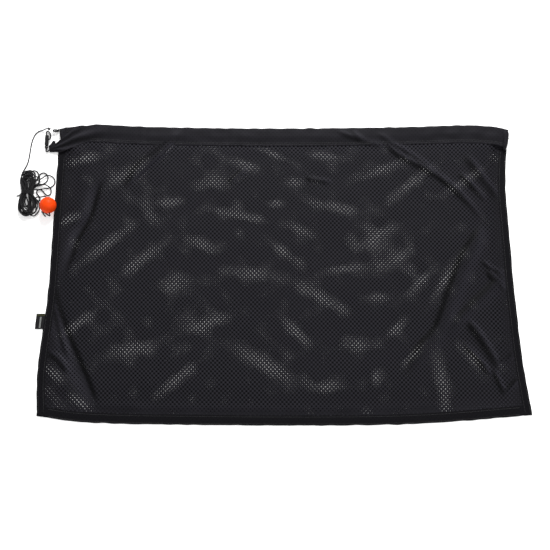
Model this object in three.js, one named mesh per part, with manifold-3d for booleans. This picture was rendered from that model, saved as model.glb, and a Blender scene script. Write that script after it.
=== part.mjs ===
// Drawstring mesh sack lying flat: two perforated panels joined by hemmed seams, a mouth hem with
// a drawcord, a bolt snap and a steel ring at one corner, and a retention cord with a tied hank
// and a float ball. Millimetres, +X across the bag, +Y towards the mouth, +Z up from the floor.
import * as THREE from 'three';
import { mergeVertices } from 'three/addons/utils/BufferGeometryUtils.js';
import Module from 'manifold-3d';

const wasm = await Module();
wasm.setup();

// ---- driving dimensions ----
const GAP = 0.3; // clearance between touching pieces
const SEAM_GAP = 1.3; // clearance between a panel and the band that joins it to the other panel
const CLOTH = 1; // thickness of a panel's solid
const BAND = 2.4; // thickness of a folded seam band
const SIDE_BAND = 19; // width of the left and right seam bands
const BOTTOM_BAND = 24;
const RISE = 9.6; // how far the front panel stands above the back one
const RISE_RUN = 75; // distance from a seam over which it rises
const CASING_WIDTH = 44;
const CASING_HEIGHT = 5.6;
const CASING_WALL = 1;
const FRONT_CASING_BASE = 11; // height of the front casing's underside
const CORD_RADIUS = 1.5;
const CORD_SIDES = 8;
const SNAP_HEIGHT = 5.4; // height of the bolt snap's middle plane
const BARREL_X = -589.4;
const BOLT_X = -591;
const BALL_RADIUS = 20;
const BALL_CENTRE = new THREE.Vector3(-574.8, 153.1, BALL_RADIUS);
const BALL_AXIS = new THREE.Vector3(0.22, -0.975, 0).normalize();
const RING_CENTRE = new THREE.Vector3(-578.5, 345, 5.9);
const RING_RADIUS = 9; // to the middle of the wire
const RING_WIRE = 0.6;
const RING_UPHILL = new THREE.Vector3(-0.453, 0.892, 0).normalize();
const RING_TILT = THREE.MathUtils.degToRad(29.5);
const LEFT_FOOT = -350; // where the side bands start, at the sack's lower corners
const RIGHT_FOOT = -348;
const LEFT_TOP = 288; // where the side bands end, below the casings
const RIGHT_TOP = 300;
const PANEL_FOOT = -326; // the panels' lower edge at the sides

// ---- materials ----
const finish = (color, roughness, metalness = 0) =>
  new THREE.MeshStandardMaterial({ color, roughness, metalness });
const mesh_cloth = finish(0x24242a, 0.85);
const hem_cloth = finish(0x222222, 0.85);
const cord = finish(0x1c1c1e, 0.8);
const black_plastic = finish(0x18181a, 0.45);
const steel = finish(0xc4c6c8, 0.25, 1);
const float_paint = finish(0xff4a14, 0.4);
const label_weave = finish(0x1a1c1c, 0.8);

const bag = new THREE.Group();

function add(name, geometry, material) {
  const mesh = new THREE.Mesh(geometry, material);
  mesh.name = name;
  bag.add(mesh);
  return mesh;
}

// ---- geometry helpers ----

// A smooth curve through [t, value] pairs with t rising, read as a function of t.
function through(pairs) {
  const slope = (i) => {
    const a = pairs[Math.max(i - 1, 0)];
    const b = pairs[Math.min(i + 1, pairs.length - 1)];
    return (b[1] - a[1]) / (b[0] - a[0]);
  };
  return (t) => {
    let i = 0;
    while (i < pairs.length - 2 && t > pairs[i + 1][0]) i += 1;
    const [t0, v0] = pairs[i];
    const [t1, v1] = pairs[i + 1];
    const w = t1 - t0;
    const s = THREE.MathUtils.clamp((t - t0) / w, 0, 1);
    const s2 = s * s;
    const s3 = s2 * s;
    const start = (2 * s3 - 3 * s2 + 1) * v0 + (s3 - 2 * s2 + s) * w * slope(i);
    return start + (3 * s2 - 2 * s3) * v1 + (s3 - s2) * w * slope(i + 1);
  };
}

const vectors = (rows) => rows.map((row) => new THREE.Vector3(...row));

function steps(from, to, count) {
  return Array.from({ length: count + 1 }, (_, i) => from + ((to - from) * i) / count);
}

function toManifold(geometry) {
  const plain = geometry.clone();
  plain.deleteAttribute('normal');
  plain.deleteAttribute('uv');
  const merged = mergeVertices(plain, 1e-4);
  const triVerts = new Uint32Array(merged.index.array);
  const vertProperties = new Float32Array(merged.attributes.position.array);
  return new wasm.Manifold(new wasm.Mesh({ numProp: 3, vertProperties, triVerts }));
}

function fromManifold(solid) {
  const { vertProperties, triVerts } = solid.getMesh();
  const geometry = new THREE.BufferGeometry();
  geometry.setAttribute('position', new THREE.BufferAttribute(new Float32Array(vertProperties), 3));
  geometry.setIndex(new THREE.BufferAttribute(new Uint32Array(triVerts), 1));
  return geometry;
}

function joined(first, ...others) {
  return fromManifold(others.reduce((sum, g) => sum.add(toManifold(g)), toManifold(first)));
}

function cutBy(body, ...tools) {
  return fromManifold(tools.reduce((rest, g) => rest.subtract(toManifold(g)), toManifold(body)));
}

// A flat plate with the given outline, from z = base up to base + thickness.
function plate(outline, base, thickness, curved = false) {
  const shape = new THREE.Shape();
  if (curved) {
    shape.moveTo(...outline[0]);
    shape.splineThru([...outline.slice(1), outline[0]].map((p) => new THREE.Vector2(...p)));
  } else {
    shape.setFromPoints(outline.map((p) => new THREE.Vector2(...p)));
  }
  const options = { depth: thickness, bevelEnabled: false, curveSegments: 2 };
  return new THREE.ExtrudeGeometry(shape, options).translate(0, 0, base);
}

function roundSection(radius, sides) {
  const turn = (2 * Math.PI) / sides;
  const corner = (i) => [radius * Math.cos(i * turn), radius * Math.sin(i * turn)];
  const points = Array.from({ length: sides }, (_, i) => new THREE.Vector2(...corner(i)));
  return new THREE.Shape(points);
}

// A round bar or cord along a smooth curve through the points.
function bar(points, radius, count, sides = CORD_SIDES, closed = false) {
  const path = new THREE.CatmullRomCurve3(vectors(points), closed, 'centripetal');
  const options = { steps: count, bevelEnabled: false, extrudePath: path };
  return new THREE.ExtrudeGeometry(roundSection(radius, sides), options);
}

// A cylinder whose axis runs along `direction` and whose middle is at `centre`.
function pin(centre, direction, radius, length, sides = 16) {
  const geometry = new THREE.CylinderGeometry(radius, radius, length, sides);
  const turn = new THREE.Quaternion();
  turn.setFromUnitVectors(new THREE.Vector3(0, 1, 0), new THREE.Vector3(...direction).normalize());
  return geometry.applyQuaternion(turn).translate(...centre);
}

function block(low, high) {
  const size = high.map((value, i) => value - low[i]);
  const middle = high.map((value, i) => (value + low[i]) / 2);
  return new THREE.BoxGeometry(...size).translate(...middle);
}

// A closed body from rings of points, each ring joined to the next one and the last to the first.
function closedRings(rings) {
  const perRing = rings[0].length;
  const index = [];
  rings.forEach((_, r) => {
    const next = (r + 1) % rings.length;
    for (let k = 0; k < perRing; k += 1) {
      const a = r * perRing + k;
      const b = r * perRing + ((k + 1) % perRing);
      const c = next * perRing + k;
      const d = next * perRing + ((k + 1) % perRing);
      index.push(a, b, d, a, d, c);
    }
  });
  const geometry = new THREE.BufferGeometry();
  geometry.setAttribute('position', new THREE.Float32BufferAttribute(rings.flat(2), 3));
  geometry.setIndex(index);
  return geometry;
}

// A flattened tube, open at both ends, along stations [x, y, base height, width].
function flatTube(stations, height, wall) {
  const profile = [
    [-1, -0.4], [-0.94, -1], [0.94, -1], [1, -0.4], [1, 0.4], [0.94, 1], [-0.94, 1], [-1, 0.4],
  ];
  const middle = stations.map(([x, y, z]) => new THREE.Vector3(x, y, z + height / 2));
  const ring = (i, inset) => {
    const before = middle[Math.max(i - 1, 0)];
    const after = middle[Math.min(i + 1, middle.length - 1)];
    const along = after.clone().sub(before).setZ(0).normalize();
    const half = stations[i][3] / 2 - inset;
    return profile.map(([across, up]) => [
      middle[i].x - along.y * across * half,
      middle[i].y + along.x * across * half,
      middle[i].z + up * (height / 2 - inset),
    ]);
  };
  const outer = stations.map((_, i) => ring(i, 0));
  const inner = stations.map((_, i) => ring(i, wall)).reverse();
  return closedRings([...outer, ...inner]);
}

// ---- outline of the bag, as smooth edges ----
const leftEdge = through([[-350, -582], [-250, -586], [-60, -570], [120, -565], [335, -560]]);
const rightEdge = through([
  [-348, 577], [-230, 562], [-60, 550], [60, 545.5], [200, 541], [300, 548], [345, 553],
]);
const bottomEdge = through([
  [-584, -350], [-480, -364], [-300, -369.5], [100, -372], [330, -367], [577, -348],
]);
const topEdge = through([
  [-560, 352], [-500, 363.5], [-330, 357], [0, 353], [300, 357], [450, 361.5], [520, 356],
  [553, 347],
]);
const casingMiddle = (x) => topEdge(x) - CASING_WIDTH / 2;
const casingLow = (x) => topEdge(x) - CASING_WIDTH;
const frontLow = (x) => Math.min(casingLow(x) - 2 * SEAM_GAP, 284 + (x + 545) / 2);

// ---- panels ----

function insideX(y, side) {
  const inset = SIDE_BAND + SEAM_GAP;
  return side < 0 ? leftEdge(y) + inset : rightEdge(y) - inset;
}

function backPanel() {
  const base = (x) => bottomEdge(x) + BOTTOM_BAND + SEAM_GAP;
  const top = (x) => casingLow(x) - 2 * SEAM_GAP;
  const xs = steps(insideX(PANEL_FOOT, -1), insideX(PANEL_FOOT, 1), 16);
  const topXs = steps(insideX(RIGHT_TOP, 1), insideX(LEFT_TOP, -1), 28);
  const rise = steps(PANEL_FOOT, RIGHT_TOP, 8).slice(1, -1);
  const fall = steps(LEFT_TOP, PANEL_FOOT, 8).slice(1, -1);
  return plate([
    ...xs.map((x) => [x, base(x)]),
    ...rise.map((y) => [insideX(y, 1), y]),
    ...topXs.map((x) => [x, top(x)]),
    ...fall.map((y) => [insideX(y, -1), y]),
  ], 0, CLOTH);
}

// Height of the front panel's underside above the floor: it starts inside the seam bands' edge
// and rises to the casing's height, so that the bag has an inside and an open mouth.
function frontHeight(x, y, yTop) {
  const smooth = (t) => THREE.MathUtils.smoothstep(t, 0, 1);
  const side = Math.min(x - insideX(y, -1), insideX(y, 1) - x) / RISE_RUN;
  const bottom = (y - bottomEdge(x) - BOTTOM_BAND) / RISE_RUN;
  const mouth = 1 - (yTop - y) / RISE_RUN;
  const sides = Math.max(smooth(side), smooth(mouth) * smooth(3 * side));
  return BAND - CLOTH + RISE * sides * smooth(bottom);
}

function frontPanel() {
  const across = 22;
  const up = 14;
  const skin = (lift) => (u, v) => {
    const row = THREE.MathUtils.lerp(PANEL_FOOT, LEFT_TOP, v);
    const x = THREE.MathUtils.lerp(insideX(row, -1), insideX(row, 1), u);
    const low = bottomEdge(x) + BOTTOM_BAND + SEAM_GAP;
    const y = THREE.MathUtils.lerp(low, frontLow(x), v);
    return [x, y, frontHeight(x, y, frontLow(x)) + lift];
  };
  const loops = [];
  const top = skin(CLOTH);
  const under = skin(0);
  for (let j = 0; j <= up; j += 1) {
    const us = steps(0, 1, across);
    const v = j / up;
    loops.push([...us.map((u) => top(u, v)), ...us.reverse().map((u) => under(u, v))]);
  }
  return loopedSheet(loops, across);
}

// A closed sheet from loops that each run across the top and back underneath.
function loopedSheet(loops, across) {
  const perLoop = loops[0].length;
  const index = [];
  for (let j = 0; j < loops.length - 1; j += 1) {
    for (let k = 0; k < perLoop; k += 1) {
      const a = j * perLoop + k;
      const b = j * perLoop + ((k + 1) % perLoop);
      index.push(a, b, b + perLoop, a, b + perLoop, a + perLoop);
    }
  }
  for (let k = 0; k < across; k += 1) {
    const a = k;
    const b = k + 1;
    const c = perLoop - 1 - k;
    const d = perLoop - 2 - k;
    const end = (loops.length - 1) * perLoop;
    index.push(a, d, b, a, c, d);
    index.push(end + a, end + b, end + d, end + a, end + d, end + c);
  }
  const geometry = new THREE.BufferGeometry();
  geometry.setAttribute('position', new THREE.Float32BufferAttribute(loops.flat(2), 3));
  geometry.setIndex(index);
  return geometry;
}

// ---- seam bands ----

function sideBand(side, top) {
  const edge = side < 0 ? leftEdge : rightEdge;
  const foot = side < 0 ? LEFT_FOOT : RIGHT_FOOT;
  const ys = steps(foot, top, 10);
  const outer = ys.map((y) => [edge(y), y]);
  const inner = ys.map((y) => [edge(y) - side * SIDE_BAND, y]);
  const corner = [edge(foot) - side * SIDE_BAND, bottomEdge(edge(foot) - side * SIDE_BAND)];
  inner[0] = corner;
  const outline = side < 0 ? [...outer.reverse(), ...inner] : [...inner.reverse(), ...outer];
  return plate(outline, 0, BAND);
}

function bottomBand() {
  const lowXs = steps(insideX(LEFT_FOOT, -1), insideX(RIGHT_FOOT, 1), 16);
  const highXs = steps(insideX(PANEL_FOOT, 1), insideX(PANEL_FOOT, -1), 16);
  const low = lowXs.map((x) => [x, bottomEdge(x)]);
  const high = highXs.map((x) => [x, bottomEdge(x) + BOTTOM_BAND]);
  return plate([...low, ...high], 0, BAND);
}

// ---- mouth: casings and drawcord ----
const CASING_RIGHT = 546;
const BACK_LEFT = -557;
const FRONT_TAB = [
  [-583, 300.5, 2.5, 16], [-574, 302, 4.4, 21], [-560, 303.5, 6.6, 25],
  [-542, 312, 8.4, 30], [-520, 323.5, 10, 36], [-500, 333, FRONT_CASING_BASE, 40],
];
const TAB_END = -470; // where the front casing has taken its full width
const casingRun = steps(TAB_END, CASING_RIGHT, 28);

function backCasing() {
  const xs = [BACK_LEFT, -540, -520, -500, ...casingRun];
  return flatTube(xs.map((x) => [x, casingMiddle(x), 0, CASING_WIDTH]), CASING_HEIGHT, CASING_WALL);
}

function frontCasing() {
  const run = casingRun.map((x) => [x, casingMiddle(x), FRONT_CASING_BASE, CASING_WIDTH]);
  return flatTube([...FRONT_TAB, ...run], CASING_HEIGHT, CASING_WALL);
}

// From the swivel eye into the front casing's tab, along it, round the right corner, back through
// the back casing, and out into the loop that holds the ring.
function drawcord() {
  const low = CASING_HEIGHT / 2;
  const high = FRONT_CASING_BASE + low;
  const corner = casingMiddle(CASING_RIGHT - 3);
  const along = steps(-440, CASING_RIGHT - 3, 14);
  const eyeToTab = bar([
    [BARREL_X - 0.2, 296, SNAP_HEIGHT - 0.2], [-589.9, 294.5, 3.8], [-588.4, 293, 2.7],
    [-585.6, 294.4, 4], [-582, 297.6, 5.6], [-572, 301.8, 7.4], [-560, 303.5, 9.4], [-542, 312, 11.2],
    [-520, 323.5, 12.8], [-500, 333, high], [-470, casingMiddle(-470), high],
    [-440, casingMiddle(-440), high],
  ], CORD_RADIUS, 40);
  const frontRun = bar(along.map((x) => [x - 0.5, casingMiddle(x), high]), CORD_RADIUS, 22);
  const turn = bar([
    [CASING_RIGHT - 4, corner, high], [CASING_RIGHT, corner, high],
    [CASING_RIGHT + 4, corner, high - 2],
    [CASING_RIGHT + 5.5, corner, (low + high) / 2], [CASING_RIGHT + 4, corner, low + 2],
    [CASING_RIGHT, corner, low], [CASING_RIGHT - 4, corner, low],
  ], CORD_RADIUS, 14);
  const backRun = bar(along.map((x) => [x - 0.5, casingMiddle(x), low]).reverse(), CORD_RADIUS, 22);
  const ringLoop = bar([
    [-440, casingMiddle(-440), low], [-470, 342.4, low], [-500, 343.6, low], [-530, 345.6, low],
    [-558, 346.8, low], [-561, 347.6, low], [-565, 349.7, 2.4], [-569.2, 350.9, 2.3],
    [-573, 350.4, 2.9], [-575.2, 348.2, 4.8], [-574.2, 345.7, 6.8], [-571, 344.7, 7.6],
    [-567.6, 344.6, 6.9], [-564.4, 345.4, 5.6],
  ], CORD_RADIUS, 44);
  const knot = new THREE.SphereGeometry(1, 12, 8).scale(2.8, 3.4, 3).translate(-564.2, 347.4, 4);
  return joined(eyeToTab, frontRun, turn, backRun, ringLoop, knot);
}

// ---- steel ring ----

function ringFrame() {
  const across = new THREE.Vector3(RING_UPHILL.y, -RING_UPHILL.x, 0);
  const uphill = RING_UPHILL.clone().multiplyScalar(Math.cos(RING_TILT));
  uphill.z = Math.sin(RING_TILT);
  return new THREE.Matrix4().makeBasis(across, uphill, across.clone().cross(uphill));
}

function steelRing() {
  const ring = new THREE.TorusGeometry(RING_RADIUS, RING_WIRE, 8, 36);
  return ring.applyMatrix4(ringFrame()).translate(...RING_CENTRE.toArray());
}

// ---- bolt snap ----
const BARREL_LOW = 309.5;
const BARREL_TOP = 334.5;
const BARREL_RADIUS = 4.7;
const BOW_RADIUS = 1.8;
const BOLT_RADIUS = 1.5;
const BOLT_TIP = 340.7;
const BOLT_FOOT = 324.4;
const BOLT_TRAVEL = 6;
const KNOB_Y = 326.2;
const SLOT_HALF = 1.3; // half the width of the slot that the thumb knob slides in
const NOSE_TIP = BOLT_TIP + GAP;
const BORE_END = 314.5;
const Y_AXIS = [0, 1, 0];

function barrelPin(x, from, to, radius, sides = 16) {
  return pin([x, (from + to) / 2, SNAP_HEIGHT], Y_AXIS, radius, to - from, sides);
}

function snapBody() {
  const z = SNAP_HEIGHT;
  const bow = bar([
    [BOLT_X, NOSE_TIP, z], [BOLT_X, 343, z], [-590.2, 345.3, z], [-587, 345.2, z],
    [-582.8, 341.4, z], [-580.9, 336.2, z], [-580.6, 330.5, z], [-583, 325.5, z], [-587, 322.5, z],
  ], BOW_RADIUS, 26, 12);
  const barrel = barrelPin(BARREL_X, BARREL_LOW, BARREL_TOP, BARREL_RADIUS, 20);
  const bore = barrelPin(BOLT_X, BORE_END, BARREL_TOP + 1, BOLT_RADIUS + GAP);
  const slot = block(
    [BOLT_X - SLOT_HALF, KNOB_Y - BOLT_TRAVEL - SLOT_HALF, z],
    [BOLT_X + SLOT_HALF, KNOB_Y + SLOT_HALF, z + 8],
  );
  const stemHole = barrelPin(BARREL_X, BARREL_LOW - 1, BARREL_LOW + 2, 1.6);
  const pocket = barrelPin(BARREL_X, BARREL_LOW + 1.2, BARREL_LOW + 3.6, 2.7);
  return cutBy(joined(bow, barrel), bore, slot, stemHole, pocket);
}

function snapBolt() {
  const rod = barrelPin(BOLT_X, BOLT_FOOT, BOLT_TIP, BOLT_RADIUS);
  const stem = pin([BOLT_X, KNOB_Y, SNAP_HEIGHT + 2.8], [0, 0, 1], 1, 5.2);
  const capProfile = [[0, 0], [2.1, 0], [2.3, 0.5], [2.0, 1.2], [0, 1.6]];
  const cap = new THREE.LatheGeometry(capProfile.map((p) => new THREE.Vector2(...p)), 16);
  cap.rotateX(Math.PI / 2).translate(BOLT_X, KNOB_Y, SNAP_HEIGHT + 4.9);
  return joined(rod, stem, cap);
}

function boltSpring() {
  const turns = 5;
  const perTurn = 10;
  const wire = 0.22;
  const coil = 1.2; // from the spring's axis to the middle of its wire
  const from = BORE_END + GAP + wire;
  const to = BOLT_FOOT - GAP - wire;
  const points = steps(0, turns, turns * perTurn).map((t) => [
    BOLT_X + coil * Math.cos(2 * Math.PI * t),
    from + ((to - from) * t) / turns,
    SNAP_HEIGHT + coil * Math.sin(2 * Math.PI * t),
  ]);
  return bar(points, wire, turns * perTurn, 5);
}

const EYE_Y = 304.8;
const EYE_OUTER = 4.2;
const EYE_HOLE = 2.3;

function swivelEye() {
  const z = SNAP_HEIGHT;
  const disc = pin([BARREL_X, EYE_Y, z], [0, 0, 1], EYE_OUTER, 3.2, 24);
  const hole = pin([BARREL_X, EYE_Y, z], [0, 0, 1], EYE_HOLE, 5, 20);
  const stem = barrelPin(BARREL_X, EYE_Y + EYE_HOLE + 0.6, BARREL_LOW + 2.6, 1.25, 12);
  const head = barrelPin(BARREL_X, BARREL_LOW + 1.5, BARREL_LOW + 3.3, 2.3, 12);
  return joined(cutBy(disc, hole), stem, head);
}

// The drawcord's end, a loop round the eye's lower bar.
function eyeLoop() {
  const y = EYE_Y - (EYE_OUTER + EYE_HOLE) / 2;
  const points = steps(0, 7 / 8, 7).map((t) => [
    BARREL_X,
    y + 3.05 * Math.cos(2 * Math.PI * t),
    SNAP_HEIGHT + 3.85 * Math.sin(2 * Math.PI * t),
  ]);
  return bar(points, CORD_RADIUS, 24, CORD_SIDES, true);
}

// ---- retention cord ----
const HITCH_ANGLE = THREE.MathUtils.degToRad(108);

function ringPoint(angle) {
  const flat = new THREE.Vector3(Math.cos(angle), Math.sin(angle), 0);
  return flat.multiplyScalar(RING_RADIUS).applyMatrix4(ringFrame()).add(RING_CENTRE);
}

// Two turns of cord round the ring's wire, as one thick collar.
function ringHitch() {
  const centre = ringPoint(HITCH_ANGLE);
  const along = ringPoint(HITCH_ANGLE + 0.05).sub(ringPoint(HITCH_ANGLE - 0.05)).normalize();
  const profile = [];
  const collar = CORD_RADIUS + 0.1;
  for (let i = 0; i <= 12; i += 1) {
    const turn = (2 * Math.PI * i) / 12;
    const out = RING_WIRE + GAP + collar;
    profile.push(new THREE.Vector2(out + collar * Math.cos(turn), 2.4 * Math.sin(turn)));
  }
  const hitch = new THREE.LatheGeometry(profile, 18);
  const turn = new THREE.Quaternion().setFromUnitVectors(new THREE.Vector3(0, 1, 0), along);
  return hitch.applyQuaternion(turn).translate(...centre.toArray());
}

const CORD_RUN = [
  [-590.4, 352.2, 9.2], [-594, 350.6, 8.2], [-598.5, 349.4, 5.6], [-603.5, 349.3, 3],
  [-609, 349.6, 1.8], [-615, 346.5, 1.6], [-619.8, 340.5, 1.6], [-624.5, 329, 1.6],
  [-627.6, 316.5, 1.6], [-629.8, 299, 1.6], [-631.8, 279, 1.6], [-634.2, 262, 1.7],
  [-636.4, 248.4, 3.2],
];

const HANK_OUTLINE = [
  [-636.6, 246.4], [-623, 245.4], [-614, 233], [-615, 216], [-618, 201], [-617.6, 187],
  [-613.4, 172], [-608.4, 155], [-608, 143], [-619, 132.5], [-633, 129], [-645.5, 137],
  [-652.6, 152], [-653, 166], [-647, 180], [-643.4, 191], [-647.2, 204], [-651, 218],
  [-651.4, 231], [-646, 240.6],
];
const HANK_HEIGHT = 12;

const LOOPS_OUTLINE = [
  [-608, 241], [-595, 243], [-582, 238.5], [-571, 230], [-567.2, 217], [-569.2, 203.5],
  [-572.4, 191.5], [-579, 181], [-589, 181.5], [-596, 187], [-598.6, 172.5], [-604, 164],
  [-607.6, 168], [-611, 178], [-613.4, 189], [-613.6, 203], [-611.4, 218], [-610.4, 232],
];
const LOOPS_HEIGHT = 8;

function hankTie() {
  const radius = 1.2;
  return bar([
    [-645.8, 190, radius], [-646.8, 190, 6], [-645.8, 190.3, 12.2], [-641, 190.6, 14.1],
    [-630, 191, 14], [-621, 191.4, 13.9], [-616.2, 191.7, 12.6], [-615, 192, 9.6],
  ], radius, 18);
}

const axisPoint = (distance) => BALL_CENTRE.clone().addScaledVector(BALL_AXIS, distance).toArray();

const CORD_LINK = [
  [-596.6, 175.8, 5.4], [-592, 177.4, 8], [-587, 178, 13.4], [-582, 176.4, 18.4],
  axisPoint(-BALL_RADIUS), axisPoint(-BALL_RADIUS / 2), axisPoint(0), axisPoint(BALL_RADIUS / 2),
  axisPoint(BALL_RADIUS), [-570.2, 131.2, 18.6], [-571.4, 130.2, 13], [-573.6, 130.4, 7],
  [-577, 131.9, 3], [-581, 134.6, 1.8], [-584.2, 137.2, 2.4],
];
const CORD_TAIL = [[-587.4, 135, 2.4], [-586.2, 132.6, 1.8], [-585, 130.2, 1.6]];

function stopKnot() {
  return new THREE.SphereGeometry(1, 14, 10).scale(5.2, 3.8, 3.6).translate(-589.8, 140, 3.6);
}

function floatBall() {
  const ball = new THREE.SphereGeometry(BALL_RADIUS, 24, 16).rotateX(Math.PI / 2);
  ball.translate(...BALL_CENTRE.toArray());
  const bore = pin(BALL_CENTRE.toArray(), BALL_AXIS.toArray(), 2.2, 3 * BALL_RADIUS, 12);
  return cutBy(ball, bore);
}

// ---- label ----
const LABEL_LOW = -146;
const LABEL_HIGH = -109;
const LABEL_OUT = 20;

function wovenLabel() {
  const right = (y) => leftEdge(y) - SEAM_GAP;
  const left = leftEdge(-127) - LABEL_OUT;
  return plate([
    [left, LABEL_LOW], [right(LABEL_LOW), LABEL_LOW],
    [right(LABEL_HIGH), LABEL_HIGH], [left, LABEL_HIGH],
  ], 0.4, 1.2);
}

// ---- assembly ----
add('back_mesh_panel', backPanel(), mesh_cloth);
add('front_mesh_panel', frontPanel(), mesh_cloth);
add('left_seam_band', sideBand(-1, LEFT_TOP), hem_cloth);
add('right_seam_band', sideBand(1, RIGHT_TOP), hem_cloth);
add('bottom_seam_band', bottomBand(), hem_cloth);
add('back_casing', backCasing(), hem_cloth);
add('front_casing', frontCasing(), hem_cloth);
add('drawcord', drawcord(), cord);
add('woven_label', wovenLabel(), label_weave);
add('steel_ring', steelRing(), steel);
add('snap_body', snapBody(), black_plastic);
add('snap_bolt', snapBolt(), black_plastic);
add('bolt_spring', boltSpring(), steel);
add('swivel_eye', swivelEye(), black_plastic);
add('drawcord_eye_loop', eyeLoop(), cord);
add('ring_hitch', ringHitch(), cord);
add('cord_run', bar(CORD_RUN, CORD_RADIUS, 32), cord);
add('cord_hank', plate(HANK_OUTLINE, 0, HANK_HEIGHT, true), cord);
add('cord_loops', plate(LOOPS_OUTLINE, 0, LOOPS_HEIGHT, true), cord);
add('hank_tie', hankTie(), cord);
add('cord_link', bar(CORD_LINK, CORD_RADIUS, 40), cord);
add('float_ball', floatBall(), float_paint);
add('stop_knot', stopKnot(), cord);
add('cord_tail', bar(CORD_TAIL, CORD_RADIUS, 3), cord);

export default bag;
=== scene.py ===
"""A drawstring mesh sack lying flat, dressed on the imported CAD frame.

The constants are millimetres in the part's own frame: +X across the sack, +Y towards its mouth,
+Z up from the floor. Meshes are made in millimetres and stored in metres. Lamps and the floor are
placed in metres.
"""
import math

import bpy
import numpy as np
from mathutils import Matrix, Vector


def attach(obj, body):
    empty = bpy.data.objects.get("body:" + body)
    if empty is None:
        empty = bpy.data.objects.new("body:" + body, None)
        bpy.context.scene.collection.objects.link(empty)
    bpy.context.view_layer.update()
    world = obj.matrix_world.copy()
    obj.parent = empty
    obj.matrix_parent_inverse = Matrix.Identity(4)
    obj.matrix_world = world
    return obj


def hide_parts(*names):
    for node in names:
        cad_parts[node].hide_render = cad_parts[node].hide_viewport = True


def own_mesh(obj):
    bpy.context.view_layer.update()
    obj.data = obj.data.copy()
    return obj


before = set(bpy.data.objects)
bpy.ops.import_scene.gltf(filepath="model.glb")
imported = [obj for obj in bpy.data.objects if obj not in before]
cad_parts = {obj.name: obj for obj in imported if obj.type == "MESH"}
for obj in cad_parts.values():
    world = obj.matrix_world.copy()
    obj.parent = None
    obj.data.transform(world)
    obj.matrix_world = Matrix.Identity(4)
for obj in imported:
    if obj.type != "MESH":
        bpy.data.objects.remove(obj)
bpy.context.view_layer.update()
scene = bpy.context.scene
MM = 0.001
TURN = 2 * math.pi
rng = np.random.default_rng(11)


# ---------------------------------------------------------------- geometry helpers

def through(pairs):
    """A smooth curve through (t, value) pairs with t rising, as a function of t."""
    t = np.array([p[0] for p in pairs], float)
    v = np.array([p[1] for p in pairs], float)
    before = np.maximum(np.arange(len(t)) - 1, 0)
    after = np.minimum(np.arange(len(t)) + 1, len(t) - 1)
    slope = (v[after] - v[before]) / (t[after] - t[before])

    def read(x):
        i = np.clip(np.searchsorted(t, x, side="right") - 1, 0, len(t) - 2)
        w = t[i + 1] - t[i]
        s = np.clip((np.asarray(x, float) - t[i]) / w, 0, 1)
        s2, s3 = s * s, s ** 3
        start = (2 * s3 - 3 * s2 + 1) * v[i] + (s3 - 2 * s2 + s) * w * slope[i]
        return start + (3 * s2 - 2 * s3) * v[i + 1] + (s3 - s2) * w * slope[i + 1]

    return read


def smooth(t):
    t = np.clip(t, 0, 1)
    return t * t * (3 - 2 * t)


def unit(v):
    v = np.asarray(v, float)
    return v / np.linalg.norm(v, axis=-1, keepdims=True)


def waves(x, y, size, seed, count=9):
    """Smooth unrepeating noise from -1 to 1, with swells about `size` across."""
    made = np.random.default_rng(seed)
    total = 0
    for _ in range(count):
        angle, phase = made.uniform(0, TURN, 2)
        k = TURN / size * made.uniform(0.45, 1.1)
        total = total + np.sin(k * (math.cos(angle) * x + math.sin(angle) * y) + phase)
    return total / count * 1.8


def even_steps(path, spacing, closed=False):
    """The same path with points an even distance apart."""
    path = np.asarray(path, float)
    if closed:
        path = np.vstack([path, path[:1]])
    run = np.concatenate([[0], np.cumsum(np.linalg.norm(np.diff(path, axis=0), axis=1))])
    count = max(3, int(round(run[-1] / spacing)))
    at = np.linspace(0, run[-1], count + 1)
    if closed:
        at = at[:-1]
    return np.stack([np.interp(at, run, path[:, k]) for k in range(path.shape[1])], 1)


def spline(points, spacing=1.5, closed=False):
    """A centripetal Catmull-Rom curve through the points, at even steps."""
    p = np.asarray(points, float)
    if closed:
        p = np.vstack([p[-1:], p, p[:2]])
    else:
        p = np.vstack([2 * p[0] - p[1], p, 2 * p[-1] - p[-2]])
    out = []
    for a, b, c, d in zip(p[:-3], p[1:-2], p[2:-1], p[3:]):
        t1 = np.linalg.norm(b - a) ** 0.5
        t2 = t1 + np.linalg.norm(c - b) ** 0.5
        t3 = t2 + np.linalg.norm(d - c) ** 0.5
        t = np.linspace(t1, t2, 17)[:-1, None]
        ab = (t1 - t) / t1 * a + t / t1 * b
        bc = (t2 - t) / (t2 - t1) * b + (t - t1) / (t2 - t1) * c
        cd = (t3 - t) / (t3 - t2) * c + (t - t2) / (t3 - t2) * d
        abc = (t2 - t) / t2 * ab + t / t2 * bc
        bcd = (t3 - t) / (t3 - t1) * bc + (t - t1) / (t3 - t1) * cd
        out.append((t2 - t) / (t2 - t1) * abc + (t - t1) / (t2 - t1) * bcd)
    if not closed:
        out.append(p[-2:-1])
    return even_steps(np.vstack(out), spacing, closed)


NO_FOLD = [0.5, 0.0]  # the "Fold" layer of flat cloth: neither lit nor shaded, its knit at rest


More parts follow.
